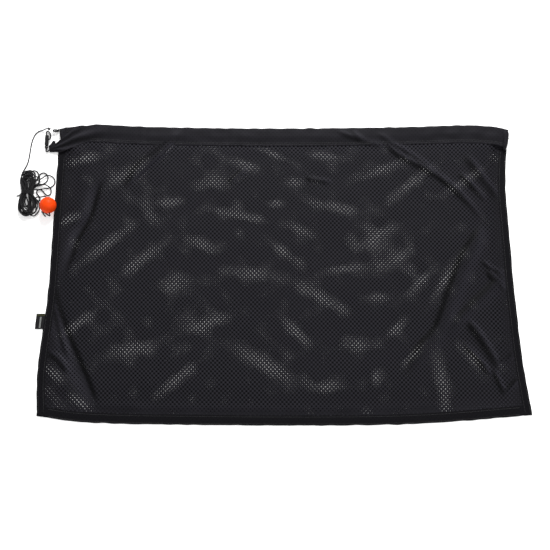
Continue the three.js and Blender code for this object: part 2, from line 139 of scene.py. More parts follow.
def piece(name, points, faces, material, slot, body="sack", uv=None):
    """A mesh object from points in millimetres; uv is a value for each point."""
    mesh = bpy.data.meshes.new(name)
    points = np.asarray(points, float)
    groups = faces if isinstance(faces, list) else [np.asarray(faces)]
    sizes = np.concatenate([np.full(len(g), g.shape[1]) for g in groups])
    corners = np.concatenate([g.ravel() for g in groups]).astype(np.int32)
    mesh.vertices.add(len(points))
    mesh.vertices.foreach_set("co", (points * MM).ravel())
    mesh.loops.add(len(corners))
    mesh.loops.foreach_set("vertex_index", corners)
    mesh.polygons.add(len(sizes))
    mesh.polygons.foreach_set("loop_start", np.concatenate([[0], np.cumsum(sizes)[:-1]]))
    mesh.polygons.foreach_set("use_smooth", np.ones(len(sizes), bool))
    mesh.update(calc_edges=True)
    unfolded = {"Fold": np.tile(NO_FOLD, (len(points), 1))} if slot == "hem_cloth" else {}
    for layer, values in {**unfolded, **(uv or {})}.items():
        mesh.uv_layers.new(name=layer).data.foreach_set("uv", values[corners].ravel())
    mesh.validate()
    mesh.materials.append(material)
    made = bpy.data.objects.new(name, mesh)
    scene.collection.objects.link(made)
    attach(made, body)
    return made


def grid_faces(rows, columns, closed_rows=False, closed_columns=False):
    r = np.arange(rows if closed_rows else rows - 1)
    c = np.arange(columns if closed_columns else columns - 1)
    r, c = (a.ravel() for a in np.meshgrid(r, c, indexing="ij"))
    r2, c2 = (r + 1) % rows, (c + 1) % columns
    return np.stack([r * columns + c, r * columns + c2, r2 * columns + c2, r2 * columns + c], 1)


def loft(rings):
    """Points and faces of a closed body through equal rings of points, capped at both ends."""
    rings = np.asarray(rings, float)
    n, m = rings.shape[:2]
    side = grid_faces(n, m, closed_columns=True)
    ends = np.stack([np.arange(m)[::-1], (n - 1) * m + np.arange(m)])
    return rings.reshape(-1, 3), [side, ends]


def frames_along(path, closed):
    """Two directions square to the path at each point, without twist."""
    ahead = np.roll(path, -1, 0) - np.roll(path, 1, 0)
    if not closed:
        ahead[0], ahead[-1] = path[1] - path[0], path[-1] - path[-2]
    ahead = unit(ahead)
    side = np.cross(ahead[0], [0.1, 0.2, 1.0])
    sides = []
    for forward in ahead:
        side = unit(side - forward * side.dot(forward))
        sides.append(side)
    sides = np.array(sides)
    if closed:
        slip = math.atan2(np.cross(sides[-1], sides[0]).dot(ahead[0]), sides[-1].dot(sides[0]))
        turn = (np.linspace(0, slip, len(path)))[:, None]
        sides = sides * np.cos(turn) + np.cross(ahead, sides) * np.sin(turn)
    return sides, np.cross(ahead, sides)


def tube(path, radius, sides=12, closed=False, round_ends=True):
    """Points, faces and uv of a round tube; u runs along it in millimetres, v once round it."""
    path = np.asarray(path, float)
    radii = np.full(len(path), float(radius))
    if round_ends and not closed:
        first, last = unit(path[0] - path[1]), unit(path[-1] - path[-2])
        lead = [path[0] + first * radius * math.sin(a) for a in (1.45, 1.0, 0.5)]
        tail = [path[-1] + last * radius * math.sin(a) for a in (0.5, 1.0, 1.45)]
        cap = radius * np.cos([0.5, 1.0, 1.45])
        path = np.vstack([lead, path, tail])
        radii = np.concatenate([cap[::-1], radii, cap])
    across, up = frames_along(path, closed)
    angle = np.arange(sides) * TURN / sides
    ring = np.cos(angle)[None, :, None] * across[:, None] + np.sin(angle)[None, :, None] * up[:, None]
    points = path[:, None] + ring * radii[:, None, None]
    run = np.concatenate([[0], np.cumsum(np.linalg.norm(np.diff(path, axis=0), axis=1))])
    u = np.repeat(run[:, None], sides, 1)
    v = np.repeat((np.arange(sides) / sides)[None], len(path), 0)
    faces = [grid_faces(len(path), sides, closed_rows=closed, closed_columns=True)]
    if not closed:
        last = (len(path) - 1) * sides
        faces.append(np.stack([np.arange(sides)[::-1], last + np.arange(sides)]))
    return points.reshape(-1, 3), faces, np.stack([u, v], 2).reshape(-1, 2)


def cord_piece(name, path, radius, body="sack", **options):
    points, faces, uv = tube(path, radius, **options)
    return piece(name, points, faces, CORD_BRAID, "cord", body, {"Along": uv})


def merged(parts):
    """Several (points, faces, ...) bodies as one."""
    points, faces, start = [], {}, 0
    for body in parts:
        for group in body[1]:
            faces.setdefault(group.shape[1], []).append(group + start)
        points.append(body[0])
        start += len(body[0])
    return np.vstack(points), [np.vstack(groups) for groups in faces.values()]


# ---------------------------------------------------------------- materials

WAVE_SCALE = 0.31416  # a wave texture's scale for one stripe in each unit


def shade(colour, factor):
    return tuple(c * factor for c in colour)


def grey(value):
    return (value, value, value)


class Finish:
    """A Principled material and short ways to add nodes to it."""

    def __init__(self, name, colour, roughness, **sockets):
        self.material = bpy.data.materials.new(name)
        self.material.use_nodes = True
        self.tree = self.material.node_tree
        self.shader = self.tree.nodes["Principled BSDF"]
        self.shader.inputs["Base Color"].default_value = (*colour, 1)
        self.shader.inputs["Roughness"].default_value = roughness
        for key, value in sockets.items():
            self.shader.inputs[key.replace("_", " ")].default_value = value

    def node(self, kind, inputs=(), **settings):
        made = self.tree.nodes.new("ShaderNode" + kind)
        for key, value in settings.items():
            setattr(made, key, value)
        for key, value in dict(inputs).items():
            if isinstance(value, bpy.types.NodeSocket):
                self.tree.links.new(value, made.inputs[key])
            else:
                made.inputs[key].default_value = value
        return made

    def math(self, operation, a, b=0.0, c=0.5, clamp=False):
        made = self.node("Math", {0: a, 1: b, 2: c}, operation=operation, use_clamp=clamp)
        return made.outputs[0]

    def times(self, a, b, clamp=False):
        return self.math("MULTIPLY", a, b, clamp=clamp)

    def above(self, value, level, gain):
        """0 where the value is under the level, rising to 1 over it."""
        return self.times(self.math("SUBTRACT", value, level), gain, clamp=True)

    def split(self, coordinates):
        return self.node("SeparateXYZ", {0: coordinates}).outputs

    def layer(self, name):
        return self.node("UVMap", uv_map=name).outputs[0]

    def place(self, scale=(1, 1, 1), layer=None, turn=0.0):
        """Coordinates in scaled millimetres, of the object or of a uv layer."""
        if layer:
            source = self.layer(layer)
            factor = scale
        else:
            source = self.node("TexCoord").outputs["Object"]
            factor = tuple(s / MM for s in scale)
        moved = self.node("Mapping", {"Vector": source, "Scale": factor, "Rotation": (0, 0, turn)})
        return moved.outputs[0]

    def noise(self, scale, detail=3.0, roughness=0.55, place=None):
        """Clouds about 1 / `scale` across, in the place's units, which are millimetres if none is given."""
        place = self.place() if place is None else place
        values = {"Vector": place, "Scale": scale, "Detail": detail, "Roughness": roughness}
        return self.node("TexNoise", values).outputs["Fac"]

    def bands(self, place, scale=1.0, distortion=0.0, direction="X"):
        """Soft stripes, `scale` of them in each unit of the coordinates."""
        values = {"Vector": place, "Scale": scale * WAVE_SCALE, "Distortion": distortion}
        return self.node("TexWave", values, bands_direction=direction).outputs["Fac"]

    def knit(self, turn, scale, distortion, layer=None):
        """Fine ribs that cross each other."""
        places = [self.place(layer=layer, turn=way) for way in (turn, -turn)]
        return self.math("MAXIMUM", *(self.bands(place, scale, distortion) for place in places))

    def fold(self):
        """From the "Fold" layer: the painted light and shade on the cloth's folds, and how dense the knit
        is.
        """
        lit, dense, _ = self.split(self.layer("Fold"))
        return self.ramp(lit, [(0, grey(0.1)), (0.5, grey(0.5)), (1, grey(0.98))]), dense

    def lattice(self, place):
        """1 at each site of the mesh's centred lattice of holes, -1 midway between sites."""
        x, y, _ = self.split(place)
        across = self.math("COSINE", self.times(x, TURN / PITCH_X))
        up = self.math("COSINE", self.times(y, TURN / PITCH_Y))
        return self.times(across, up)

    def ramp(self, value, stops):
        made = self.node("ValToRGB", {"Fac": value})
        ramp = made.color_ramp
        while len(ramp.elements) < len(stops):
            ramp.elements.new(0.5)
        for element, (at, colour) in zip(ramp.elements, stops):
            element.position = at
            element.color = (*colour, 1)
        return made.outputs["Color"]

    def mix(self, factor, a, b, blend="MIX"):
        made = self.node("Mix", {0: factor}, data_type="RGBA", blend_type=blend)
        for socket, value in ((made.inputs[6], a), (made.inputs[7], b)):
            if isinstance(value, bpy.types.NodeSocket):
                self.tree.links.new(value, socket)
            else:
                socket.default_value = (*value, 1)
        return made.outputs[2]

    def product(self, tone, *factors):
        for factor in factors:
            tone = self.mix(1.0, tone, factor, "MULTIPLY")
        return tone

    def set(self, name, socket):
        self.tree.links.new(socket, self.shader.inputs[name])

    def bump(self, *layers):
        """Heights from coarse to fine, each (height, strength, distance in mm)."""
        normal = None
        for height, strength, distance in layers:
            values = {"Height": height, "Strength": strength, "Distance": distance * MM}
            if normal:
                values["Normal"] = normal
            normal = self.node("Bump", values).outputs[0]
        self.set("Normal", normal)


# ---------------------------------------------------------------- sizes
# Most are the CAD's. The holes are only here, and the mouth's edge lies about 3 mm lower.

PITCH_X, PITCH_Y = 9.9, 10.25  # the mesh's centred cell: a hole at its corners and its middle
HOLE = 1.8  # the radius of a hole
SIDE_BAND = 19
BOTTOM_BAND = 24
SEAM_GAP = 1.3
RISE = 9.6
RISE_RUN = 75
CASING_WIDTH = 44
CASING_HEIGHT = 5.6
FRONT_BASE = 11
CORD = 1.5  # the radius of the drawcord and of the retention cord
LEFT_TOP, RIGHT_TOP = 299, 303
CASING_LEFT, CASING_RIGHT = -557, 546

left_edge = through([(-350, -582), (-250, -586), (-60, -570), (120, -565), (335, -560)])
right_edge = through([
    (-348, 577), (-230, 562), (-60, 550), (60, 545.5), (200, 541), (300, 548), (345, 553)])
bottom_edge = through([
    (-584, -350), (-480, -364), (-300, -369.5), (100, -372), (330, -367), (577, -348)])
top_edge = through([
    (-560, 352), (-500, 361), (-330, 354), (0, 350), (300, 354), (450, 358.5), (520, 353.5),
    (553, 345)])


def casing_middle(x):
    return top_edge(x) - CASING_WIDTH / 2


def front_low(x):
    """Y of the front sheet's upper edge: under the casing, and lower beside the tab."""
    return np.minimum(top_edge(x) - CASING_WIDTH - 2 * SEAM_GAP, 284 + (x + 545) / 2)


# ---------------------------------------------------------------- camera and light

CAMERA_TILT = math.radians(10)
CAMERA_FAR = 2000
CAMERA_AIM = Vector((-25, -15, 0))
FIELD = math.radians(36.67)
CAMERA_AT = CAMERA_AIM + CAMERA_FAR * Vector((0, -math.sin(CAMERA_TILT), math.cos(CAMERA_TILT)))

camera = bpy.data.objects.new("camera", bpy.data.cameras.new("camera"))
camera.data.angle = FIELD
camera.location = CAMERA_AT * MM
camera.rotation_euler = (CAMERA_TILT, 0, 0)
camera.data.clip_start = 0.01
scene.collection.objects.link(camera)
scene.camera = camera
scene.view_settings.view_transform = "Standard"


def softbox(name, at, aim, size, watts):
    lamp = bpy.data.lights.new(name, "AREA")
    lamp.shape = "DISK"
    lamp.size = size
    lamp.energy = watts
    made = bpy.data.objects.new(name, lamp)
    made.location = at
    made.rotation_euler = (Vector(aim) - Vector(at)).to_track_quat("-Z", "Y").to_euler()
    scene.collection.objects.link(made)


softbox("key", (0.2, 2.4, 1.9), (0, 0, 0), 1.0, 125)
softbox("fill", (0.9, -1.6, 2.6), (0, 0, 0), 2.2, 42)
world = bpy.data.worlds.new("studio")
world.use_nodes = True
world.node_tree.nodes["Background"].inputs["Color"].default_value = (1, 1, 1, 1)
world.node_tree.nodes["Background"].inputs["Strength"].default_value = 0.6
scene.world = world

FLOOR_HALF, FLOOR_DROP = 6, 0.0004
paper = Finish("lit_table", grey(0.96), 0.8, Emission_Strength=0.17, Emission_Color=(1, 1, 1, 1))
floor_mesh = bpy.data.meshes.new("floor")
floor_corners = [(x * FLOOR_HALF, y * FLOOR_HALF, 0) for x, y in ((-1, -1), (1, -1), (1, 1), (-1, 1))]
floor_mesh.from_pydata(floor_corners, [], [(0, 1, 2, 3)])
floor_mesh.materials.append(paper.material)
floor = bpy.data.objects.new("floor", floor_mesh)
floor.location.z = -FLOOR_DROP
scene.collection.objects.link(floor)


# ---------------------------------------------------------------- finishes

CLOTH_BLACK = (0.0062, 0.0059, 0.0076)
HEM_BLACK = (0.0098, 0.0094, 0.0116)
CORD_BLACK = (0.0072, 0.0071, 0.0078)
MESH_GAIN = (5.0, 5.0, 5.05)  # makes up for the painted rim shade and the painted fold light and shade factors, which only darken
HEM_GAIN = grey(2)  # makes up for the painted fold light and shade factor, which is a half on flat cloth


def mesh_cloth():
    """Warp knit: the yarn between the holes is rounded and finely ribbed, with painted shade toward the
    hole rims and painted light and shade on the folds.
    """
    f = Finish("mesh_cloth", CLOTH_BLACK, 0.6, Sheen_Weight=0.03, Sheen_Roughness=0.45,
               Specular_IOR_Level=0.07)
    holes = f.lattice(f.place(layer="Cloth"))
    yarn = f.knit(0.9, 1.6, 1.2, "Cloth")
    cloudy = f.noise(0.012)
    tone = f.mix(f.times(yarn, 0.55), shade(CLOTH_BLACK, 0.72), shade(CLOTH_BLACK, 1.3))
    tone = f.mix(f.times(cloudy, 0.5), tone, shade(CLOTH_BLACK, 1.25))
    # Painted shade: the yarn is darkest at the hole rims and brightest midway between holes; in dense folds
    # it evens out to a half.
    rim_shade = f.ramp(f.math("MULTIPLY_ADD", holes, -0.5, 0.5), [
        (0.22, (0.08, 0.08, 0.09)), (0.5, grey(0.45)), (0.88, grey(1))])
    # Painted light and shade of the folds, and how dense the knit is drawn there.
    fold_light_and_shade, dense = f.fold()
    rim_shade = f.mix(f.times(dense, 0.85), rim_shade, (0.5, 0.5, 0.51))
    f.set("Base Color", f.product(tone, MESH_GAIN, rim_shade, fold_light_and_shade))
    f.bump((f.times(holes, -1.0), 0.5, 0.5), (yarn, 0.5, 0.15), (f.noise(2.2, 2), 0.3, 0.08))
    return f.material


def hem_cloth(name="hem_cloth", colour=HEM_BLACK, gloss=0.04):
    """Folded mesh: the holes of the layers show only as faint dimples, painted darker as shade falls in
    them.
    """
    f = Finish(name, colour, 0.6, Sheen_Weight=0.4 * gloss, Sheen_Roughness=0.5,
               Specular_IOR_Level=gloss)
    over = f.lattice(f.place())
    under = f.lattice(f.place((1.04, 0.97, 1), turn=0.06))
    dimple = f.math("MAXIMUM", over, f.times(under, 0.6))
    pits = f.math("SMOOTH_MIN", f.math("SUBTRACT", 1.1, dimple), 0.7)
    yarn = f.knit(0.8, 1.5, 1.5)
    cloudy = f.noise(0.03)
    tone = f.mix(f.times(yarn, 0.5), shade(colour, 0.75), shade(colour, 1.3))
    tone = f.mix(f.times(cloudy, 0.5), tone, shade(colour, 1.3))
    # Painted shade: the dimples are darker.
    tone = f.mix(f.math("GREATER_THAN", dimple, 0.62), tone, shade(colour, 0.6))
    # Painted light and shade of the folds and gathers.
    fold_light_and_shade, _ = f.fold()
    f.set("Base Color", f.product(tone, HEM_GAIN, fold_light_and_shade))
    f.bump((pits, 0.5, 0.5), (yarn, 0.5, 0.12), (f.noise(2.5, 2), 0.3, 0.06))
    return f.material


def braid(name, colour, strands, pitch):
    """A braided cord: two families of strands that wind opposite ways round it."""
    f = Finish(name, colour, 0.6, Sheen_Weight=0.05, Sheen_Roughness=0.4, Specular_IOR_Level=0.11)
    along, round_, _ = f.split(f.layer("Along"))
    u = f.times(along, TURN / pitch)
    v = f.times(round_, TURN * strands)
    first = f.math("SINE", f.math("ADD", u, v))
    second = f.math("SINE", f.math("SUBTRACT", u, v))
    weave = f.math("MULTIPLY_ADD", f.times(first, second), 0.5, 0.5)
    patchy = f.noise(0.08, 2)
    tone = f.mix(weave, shade(colour, 0.65), shade(colour, 1.6))
    f.set("Base Color", f.mix(f.times(patchy, 0.4), tone, shade(colour, 1.7)))
    f.bump((weave, 0.8, 0.25), (f.noise(3.0, 2), 0.4, 0.06))
    return f.material


def thread():
    f = Finish("stitch_thread", (0.028, 0.028, 0.03), 0.5, Sheen_Weight=0.2)
    ply = f.bands(f.place(turn=0.6), 2.4, 0.8)
    f.set("Base Color", f.mix(ply, (0.010, 0.010, 0.011), (0.022, 0.022, 0.023)))
    f.bump((ply, 0.6, 0.08))
    return f.material


def black_plastic():
    colour = (0.008, 0.008, 0.0085)
    f = Finish("black_plastic", colour, 0.42, Coat_Weight=0.03, Coat_Roughness=0.3,
               Specular_IOR_Level=0.12)
    rub = f.noise(1.0, 4, 0.7, f.place((0.35, 0.12, 0.35)))
    scuff = f.above(rub, 0.52, 5.0)
    f.set("Base Color", f.mix(f.times(scuff, 0.55), colour, (0.016, 0.016, 0.017)))
    f.set("Roughness", f.math("MULTIPLY_ADD", scuff, 0.2, 0.38))
    f.bump((rub, 0.15, 0.1), (f.noise(3.2, 4), 0.35, 0.05))
    return f.material


def steel(name, roughness):
    f = Finish(name, (0.62, 0.63, 0.64), roughness, Metallic=1.0)
    drawn = f.noise(1.5, 4, place=f.place((2, 2, 0.6)))
    dull = f.noise(0.25)
    f.set("Base Color", f.mix(f.times(dull, 0.6), (0.3, 0.305, 0.31), (0.18, 0.18, 0.185)))
    f.set("Roughness", f.math("MULTIPLY_ADD", drawn, 0.2, roughness - 0.08))
    f.bump((drawn, 0.2, 0.03))
    return f.material


def float_paint():
    """Sprayed foam: satin orange with fine orange peel, faint pits and a few rubbed marks."""
    colour = (0.82, 0.05, 0.004)
    f = Finish("float_paint", colour, 0.5, Coat_Weight=0.01, Coat_Roughness=0.3,
               Specular_IOR_Level=0.06, Subsurface_Weight=0.06,
               Subsurface_Radius=(0.004, 0.0012, 0.0006))
    cloud = f.noise(0.06)
    pits = f.node("TexVoronoi", {"Vector": f.place(), "Scale": 0.45}).outputs["Distance"]
    pit = f.math("LESS_THAN", pits, 0.12)
    marks = f.noise(1.0, 5, 0.75, f.place((0.5, 0.12, 0.2), turn=0.5))
    rubbed = f.above(marks, 0.66, 8.0)
    tone = f.mix(cloud, (0.63, 0.041, 0.003), (0.73, 0.058, 0.005))
    tone = f.mix(f.times(pit, 0.25), tone, (0.5, 0.028, 0.003))
    f.set("Base Color", f.mix(f.times(rubbed, 0.5), tone, (0.6, 0.04, 0.006)))
    f.set("Roughness", f.math("MULTIPLY_ADD", cloud, 0.12, 0.36))
    f.bump((f.noise(0.9), 0.25, 0.12), (f.times(pit, -1.0), 0.3, 0.1))
    return f.material


MESH = mesh_cloth()
HEM = hem_cloth()
BAND = hem_cloth("band_cloth", shade(HEM_BLACK, 0.48), 0.026)
CORD_BRAID = braid("cord_braid", CORD_BLACK, 4, 2.6)
THREAD = thread()
PLASTIC = black_plastic()
STEEL = steel("ring_steel", 0.22)
SPRING = steel("spring_steel", 0.35)
PAINT = float_paint()


# ---------------------------------------------------------------- retention cord

HANK_OUTLINE = [
    (-641.5, 191), (-646.5, 206), (-649.3, 219), (-648.5, 231), (-643, 240), (-631, 244.5),
    (-621, 241), (-615.5, 231), (-616.5, 217), (-619.5, 203), (-619, 187), (-615, 172),
    (-610, 155), (-610.5, 144), (-619, 134.5), (-633, 130.8), (-644, 138), (-651, 152),
    (-651.3, 166), (-646, 180)]
HANK_WAIST, HANK_AXIS = 191, -630.5
LOBE_HALF = 18
STRAY_REACH = 11  # how far a stray turn's lobes lie out to the right
HANK_TURNS = 14
NEST = 3.05  # how far apart the turns lie at the waist
LAYER = 2.7  # how far apart the layers of turns lie
CHANGE_FROM, CHANGE_RUN = 0.8, 0.2  # the part of a turn in which it takes on the next one's form
LOBE_RUN = 26  # how far from the waist the lobes are fully open
SETTLE_STEP = 2.6
LEAST_BEND = 11.0  # bends tighter than this are straightened
LAYING = 160  # rounds that lay the strands beside each other
EASING = 200  # rounds that only ease the tight bends and the overlaps
RUN_DOWN = [
    (-593.6, 351.1, 7.6), (-598.5, 349.4, 4.6), (-603.5, 349.2, 2.2), (-609, 348.6, 1.6),
    (-615, 345.3, 1.5), (-619.8, 339.5, 1.5), (-624.5, 329, 1.5), (-627.6, 316.5, 1.5),
    (-629.8, 299, 1.5), (-631.8, 279, 1.5), (-635.2, 262, 1.5), (-640.6, 251, 1.5),
    (-646.5, 241, 1.5), (-649.6, 228, 1.5), (-647.6, 212, 1.5), (-643.6, 200, 1.5)]
FREE_LOOPS = [
    (-619.4, 199, 10), (-616.4, 208.5, 8.4), (-612.4, 217.6, 5), (-608.6, 225, 2.2), (-605, 233.4, 1.6),
    (-599.4, 239.5, 1.6), (-593.5, 240.8, 1.6), (-586.5, 237.5, 1.6), (-582.4, 229.3, 1.6),
    (-583, 221.2, 1.6), (-588.3, 214.3, 1.7), (-596, 210.2, 1.8), (-604, 206.5, 2.2),
    (-613, 204.5, 3.2), (-621, 209, 5.4), (-619, 216.5, 7), (-611, 219.5, 6.2),
    (-604, 221, 4.8), (-598, 223.5, 4.6), (-592.5, 229.5, 4.4), (-586, 232.6, 4.6),
    (-576, 232.6, 2.4), (-568, 226.6, 1.7), (-564.6, 218.4, 1.6), (-566, 210.2, 1.6),
    (-572.6, 203.4, 1.7), (-582, 200.1, 2.4), (-597.3, 197.6, 4.2), (-608, 195.8, 5.4),
    (-618, 196.5, 6), (-623, 202.5, 7.6), (-616, 208, 7.2), (-605, 209, 5.6),
    (-592.1, 210.6, 4.9), (-583.4, 207.6, 4.6), (-575.1, 200.6, 4.4), (-571.8, 192.2, 1.8),
    (-573.4, 185.1, 1.6), (-578.4, 180.4, 1.6), (-584, 181.4, 1.6), (-589.4, 187.1, 1.7),
    (-594.2, 194, 1.8), (-600.5, 199, 1.8), (-608, 197.8, 2), (-612, 191, 2.4),
    (-607.2, 184.6, 2), (-601.3, 179.8, 1.7), (-598, 172.4, 1.6), (-601.7, 166.8, 1.6),
    (-608, 163.8, 2.2), (-614.5, 166, 3), (-616.5, 172.5, 4.4), (-612, 177, 5),
    (-605.9, 178, 5), (-598.3, 177.4, 5.2), (-592, 177.6, 7.6), (-587, 178, 12.6)]
BALL_RADIUS = 20
BALL_CENTRE = np.array([-574.8, 153.1, BALL_RADIUS])
BALL_AXIS = unit([0.22, -0.975, 0])
AFTER_BALL = [
    (-570.2, 131.2, 18), (-571, 129.4, 11), (-573.4, 129.6, 4.5), (-577.6, 131.6, 1.6),
    (-582, 135.2, 1.7), (-586, 138.4, 2.6), (-590, 140, 3.6), (-593.4, 140.6, 3),
    (-593, 136.6, 1.8), (-588.6, 134.4, 1.6), (-585, 130.2, 1.5)]


def between(values, turn, share):
    return values[turn] * (1 - share) + values[turn + 1] * share


def hank_turns():
    """Turns round the hourglass outline, each with its own reach and width in the two lobes."""
    outline = spline([(x, y, 0) for x, y in HANK_OUTLINE], 1.0, closed=True)[::-1, :2]
    outline = np.roll(outline, 1, 0)
    count = len(outline)
    kinds = HANK_TURNS + 2
    column = (np.arange(kinds) * 3 % 4) * NEST
    deep = (np.arange(kinds) // 4) * LAYER + CORD
    upper, lower = rng.uniform(size=(2, kinds, 3))
    stray = np.where(np.arange(kinds) % 4 == 2, STRAY_REACH, 0.0)
    path = []
    for step in range(int((HANK_TURNS + 0.5) * count)):
        turn, k = divmod(step, count)
        share = smooth((k / count - CHANGE_FROM) / CHANGE_RUN)
        x, y = outline[k]
        reach, width, shift = between(upper if y > HANK_WAIST else lower, turn, share)
        lobe = smooth(abs(y - HANK_WAIST) / LOBE_RUN)
        nest = math.copysign(between(column, turn, share), HANK_AXIS - x) * (1 - lobe)
        spread = 1 - lobe * (0.1 + 0.42 * width)
        aside = LOBE_HALF * (1 - spread) * (2.4 * shift - 1.2)
        sway = 1.6 * lobe * math.sin(0.16 * y + 2.4 * turn)
        x = HANK_AXIS + (x - HANK_AXIS) * spread + nest + aside + sway
        x += lobe * between(stray, turn, share)
        y = HANK_WAIST + (y - HANK_WAIST) * (1.06 - 0.38 * reach)
        path.append((x, y, between(deep, turn, share)))
    return path[::6]


def straightened(path, ease):
    """The move that straightens a path: by `ease`, and much more where it bends too tightly."""
    middle = (np.roll(path, 1, 0) + np.roll(path, -1, 0)) / 2 - path
    middle[[0, -1]] = 0
    bend = np.maximum(np.linalg.norm(middle, axis=1), 1e-6)
    tight = np.clip(1 - SETTLE_STEP ** 2 / (2 * LEAST_BEND) / bend, 0, 1)[:, None]
    firm = (ease + 0.9 * tight) * middle
    shared = firm * tight
    shared[[0, -1]] = 0
    given = 0.5 * (np.roll(shared, 1, 0) + np.roll(shared, -1, 0))
    given[[0, -1]] = 0
    return firm - given


def touching(path):
    """Pairs of points, not neighbours along the cord, that are close enough to touch."""
    apart = np.linalg.norm(path[:, None] - path[None], axis=2)
    return np.nonzero(np.triu(apart < 2 * CORD + 1.2, 5))


def pushed_apart(path, pairs, share):
    a, b = pairs
    way = path[b] - path[a]
    far = np.maximum(np.linalg.norm(way, axis=1), 1e-3)
    shift = way / far[:, None] * (np.clip(2 * CORD - far, 0, None) * share)[:, None]
    move = np.zeros_like(path)
    np.add.at(move, b, shift)
    np.add.at(move, a, -shift)
    return move


def settle(path, fixed):
    """Push the strands of one path apart, mostly until they touch, and keep it smooth and down."""
    path = even_steps(path, SETTLE_STEP)
    home = path.copy()
    hold = np.zeros(len(path), bool)
    for centre, reach in fixed:
        hold |= np.linalg.norm(path - centre, axis=1) < reach
    rest = np.linalg.norm(np.diff(path, axis=0), axis=1)
    for step in range(LAYING + EASING):
        pairs = touching(path) if step % 4 == 0 else pairs
        laying = step < LAYING
        move = pushed_apart(path, pairs, 0.3 if laying else 0.12)
        move += straightened(path, 0.16 if laying else 0.0)
        if laying:
            move += 0.03 * (home - path)
            length = np.linalg.norm(np.diff(path, axis=0), axis=1)
            pull = np.diff(path, axis=0) * ((length - rest) / length * 0.25)[:, None]
            move[:-1] += pull
            move[1:] -= pull
        move[hold] = 0
        path = path + np.clip(move, -0.8, 0.8) * (1 if laying else 0.6)
        path[:, 2] = np.maximum(path[:, 2], CORD)
    return path


through_ball = [tuple(BALL_CENTRE + BALL_AXIS * d) for d in (-20, -10, 0, 10, 20)]
turns = hank_turns()
rough = np.vstack([
    spline(RUN_DOWN + turns[1:4], SETTLE_STEP)[:-2],
    spline(turns[4:] + FREE_LOOPS + through_ball + AFTER_BALL, SETTLE_STEP)])
cord_path = settle(rough, [(BALL_CENTRE, 26), (np.array(RUN_DOWN[0]), 12)])
for _ in range(2):
    cord_path[1:-1] = (cord_path[:-2] + 2 * cord_path[1:-1] + cord_path[2:]) / 4
cord_path = even_steps(cord_path, 2.2)
retention_cord = cord_piece("retention_cord", cord_path, CORD)
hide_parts("cord_run", "cord_hank", "cord_loops", "cord_link", "cord_tail")


# ---------------------------------------------------------------- mesh panels

# Where the holes of the two sheets fall on each other: x, y, half length, half width, angle.
OPEN_PATCHES = [
    (-493, 276, 45, 14, 15), (-385, 242, 60, 15, 35), (-103, 263, 42, 12, -17),
    (-29, 289, 45, 10, -25), (98, 284, 42, 11, -8), (241, 250, 60, 12, 24),
    (306, 212, 65, 15, 36), (441, 220, 62, 12, 34), (-176, 216, 32, 15, 10),
    (-285, 166, 36, 12, 5), (24, 216, 26, 14, 0), (-110, 132, 70, 12, -12),
    (-21, 163, 18, 9, 0), (125, 153, 65, 14, -12), (-432, 62, 75, 15, 38),
    (-350, 21, 75, 16, 38), (-206, 62, 45, 15, -25), (40, 95, 36, 12, -25),
    (221, 82, 36, 14, 30), (-9, 44, 32, 12, -35), (277, 29, 36, 14, 30),
    (143, 0, 52, 11, 8), (323, -32, 50, 14, 45), (383, -28, 62, 12, 57),
    (-269, -36, 27, 24, 60), (-81, -12, 60, 18, -8), (83, -69, 62, 18, -30),
    (222, -69, 28, 14, 0), (-489, -129, 46, 12, 35), (-188, -133, 60, 16, 18),
    (30, -157, 45, 14, -45), (268, -141, 36, 12, 45), (172, -184, 27, 20, 0),
    (-356, -192, 62, 20, 12), (-53, -228, 85, 22, -28), (-256, -263, 55, 13, 38),
    (104, -282, 36, 14, 0), (214, -267, 20, 12, 90), (367, -267, 70, 20, -80),
    (443, -216, 36, 14, -50), (-543, -255, 30, 12, -40), (-485, -317, 36, 10, -35),
    (302, -208, 36, 10, 45), (-524, 124, 26, 10, 30)]

# Ridges, and tucks where the height is negative: points, height, width to the left of the line
# and to its right.
CREASES = [
    ([(234, 329), (283, 283), (343, 250), (396, 214), (445, 164), (484, 114)], 3.2, 6, 6),
    ([(165, 345), (192, 314)], 2.5, 5, 5),
    ([(443, 288), (496, 214), (535, 164)], 2.6, 6, 9),
    ([(484, 114), (427, 15), (400, -53), (359, -154), (322, -192), (280, -262)], 9, 16, 8),
    ([(532, -9), (476, -65), (422, -113), (370, -173)], 6, 11, 7),
    ([(430, -122), (452, -148), (478, -188), (498, -225), (506, -251)], 4, 5, 8),
    ([(498, -225), (553, -204)], 2.5, 5, 5),
    ([(513, -297), (555, -260)], 2.5, 5, 5),
    ([(-560, -30), (-552, -82), (-528, -144), (-489, -227), (-437, -343)], -5, 6, 17),
    ([(-567, -60), (-545, -113), (-527, -173), (-500, -235)], 3, 6, 6),
    ([(-573, -197), (-536, -215), (-507, -251)], 2.5, 6, 6),
    ([(-255, 350), (-301, 291), (-349, 250), (-395, 196)], 6, 5, 12),
    ([(-449, 226), (-464, 181), (-479, 124), (-504, 81), (-523, 25), (-540, -20)], -3.6, 6, 11),
    ([(-140, 212), (-94, 250)], 2, 5, 5),
    ([(48, 224), (117, 214)], 2.2, 4, 4),
    ([(424, 240), (459, 203), (494, 165)], 2.5, 5, 5),
    ([(470, 18), (499, -1), (524, -15)], 2.5, 5, 4),
    ([(481, -1), (509, -31), (532, -55)], 2.5, 5, 4),
    ([(420, -179), (454, -214), (487, -261)], 2.5, 4, 6),
    ([(488, -238), (519, -307)], 2.2, 4, 5),
    ([(486, -25), (528, -1)], 2.5, 5, 5),
    ([(122, 346), (183, 323), (256, 304)], 2.0, 5, 5),
    ([(220, 342), (292, 297), (376, 240)], 2.2, 5, 5),
    ([(-560, -322), (-470, -330), (-300, -336), (100, -339), (330, -334), (548, -318)], 2.6, 9, 8),
]


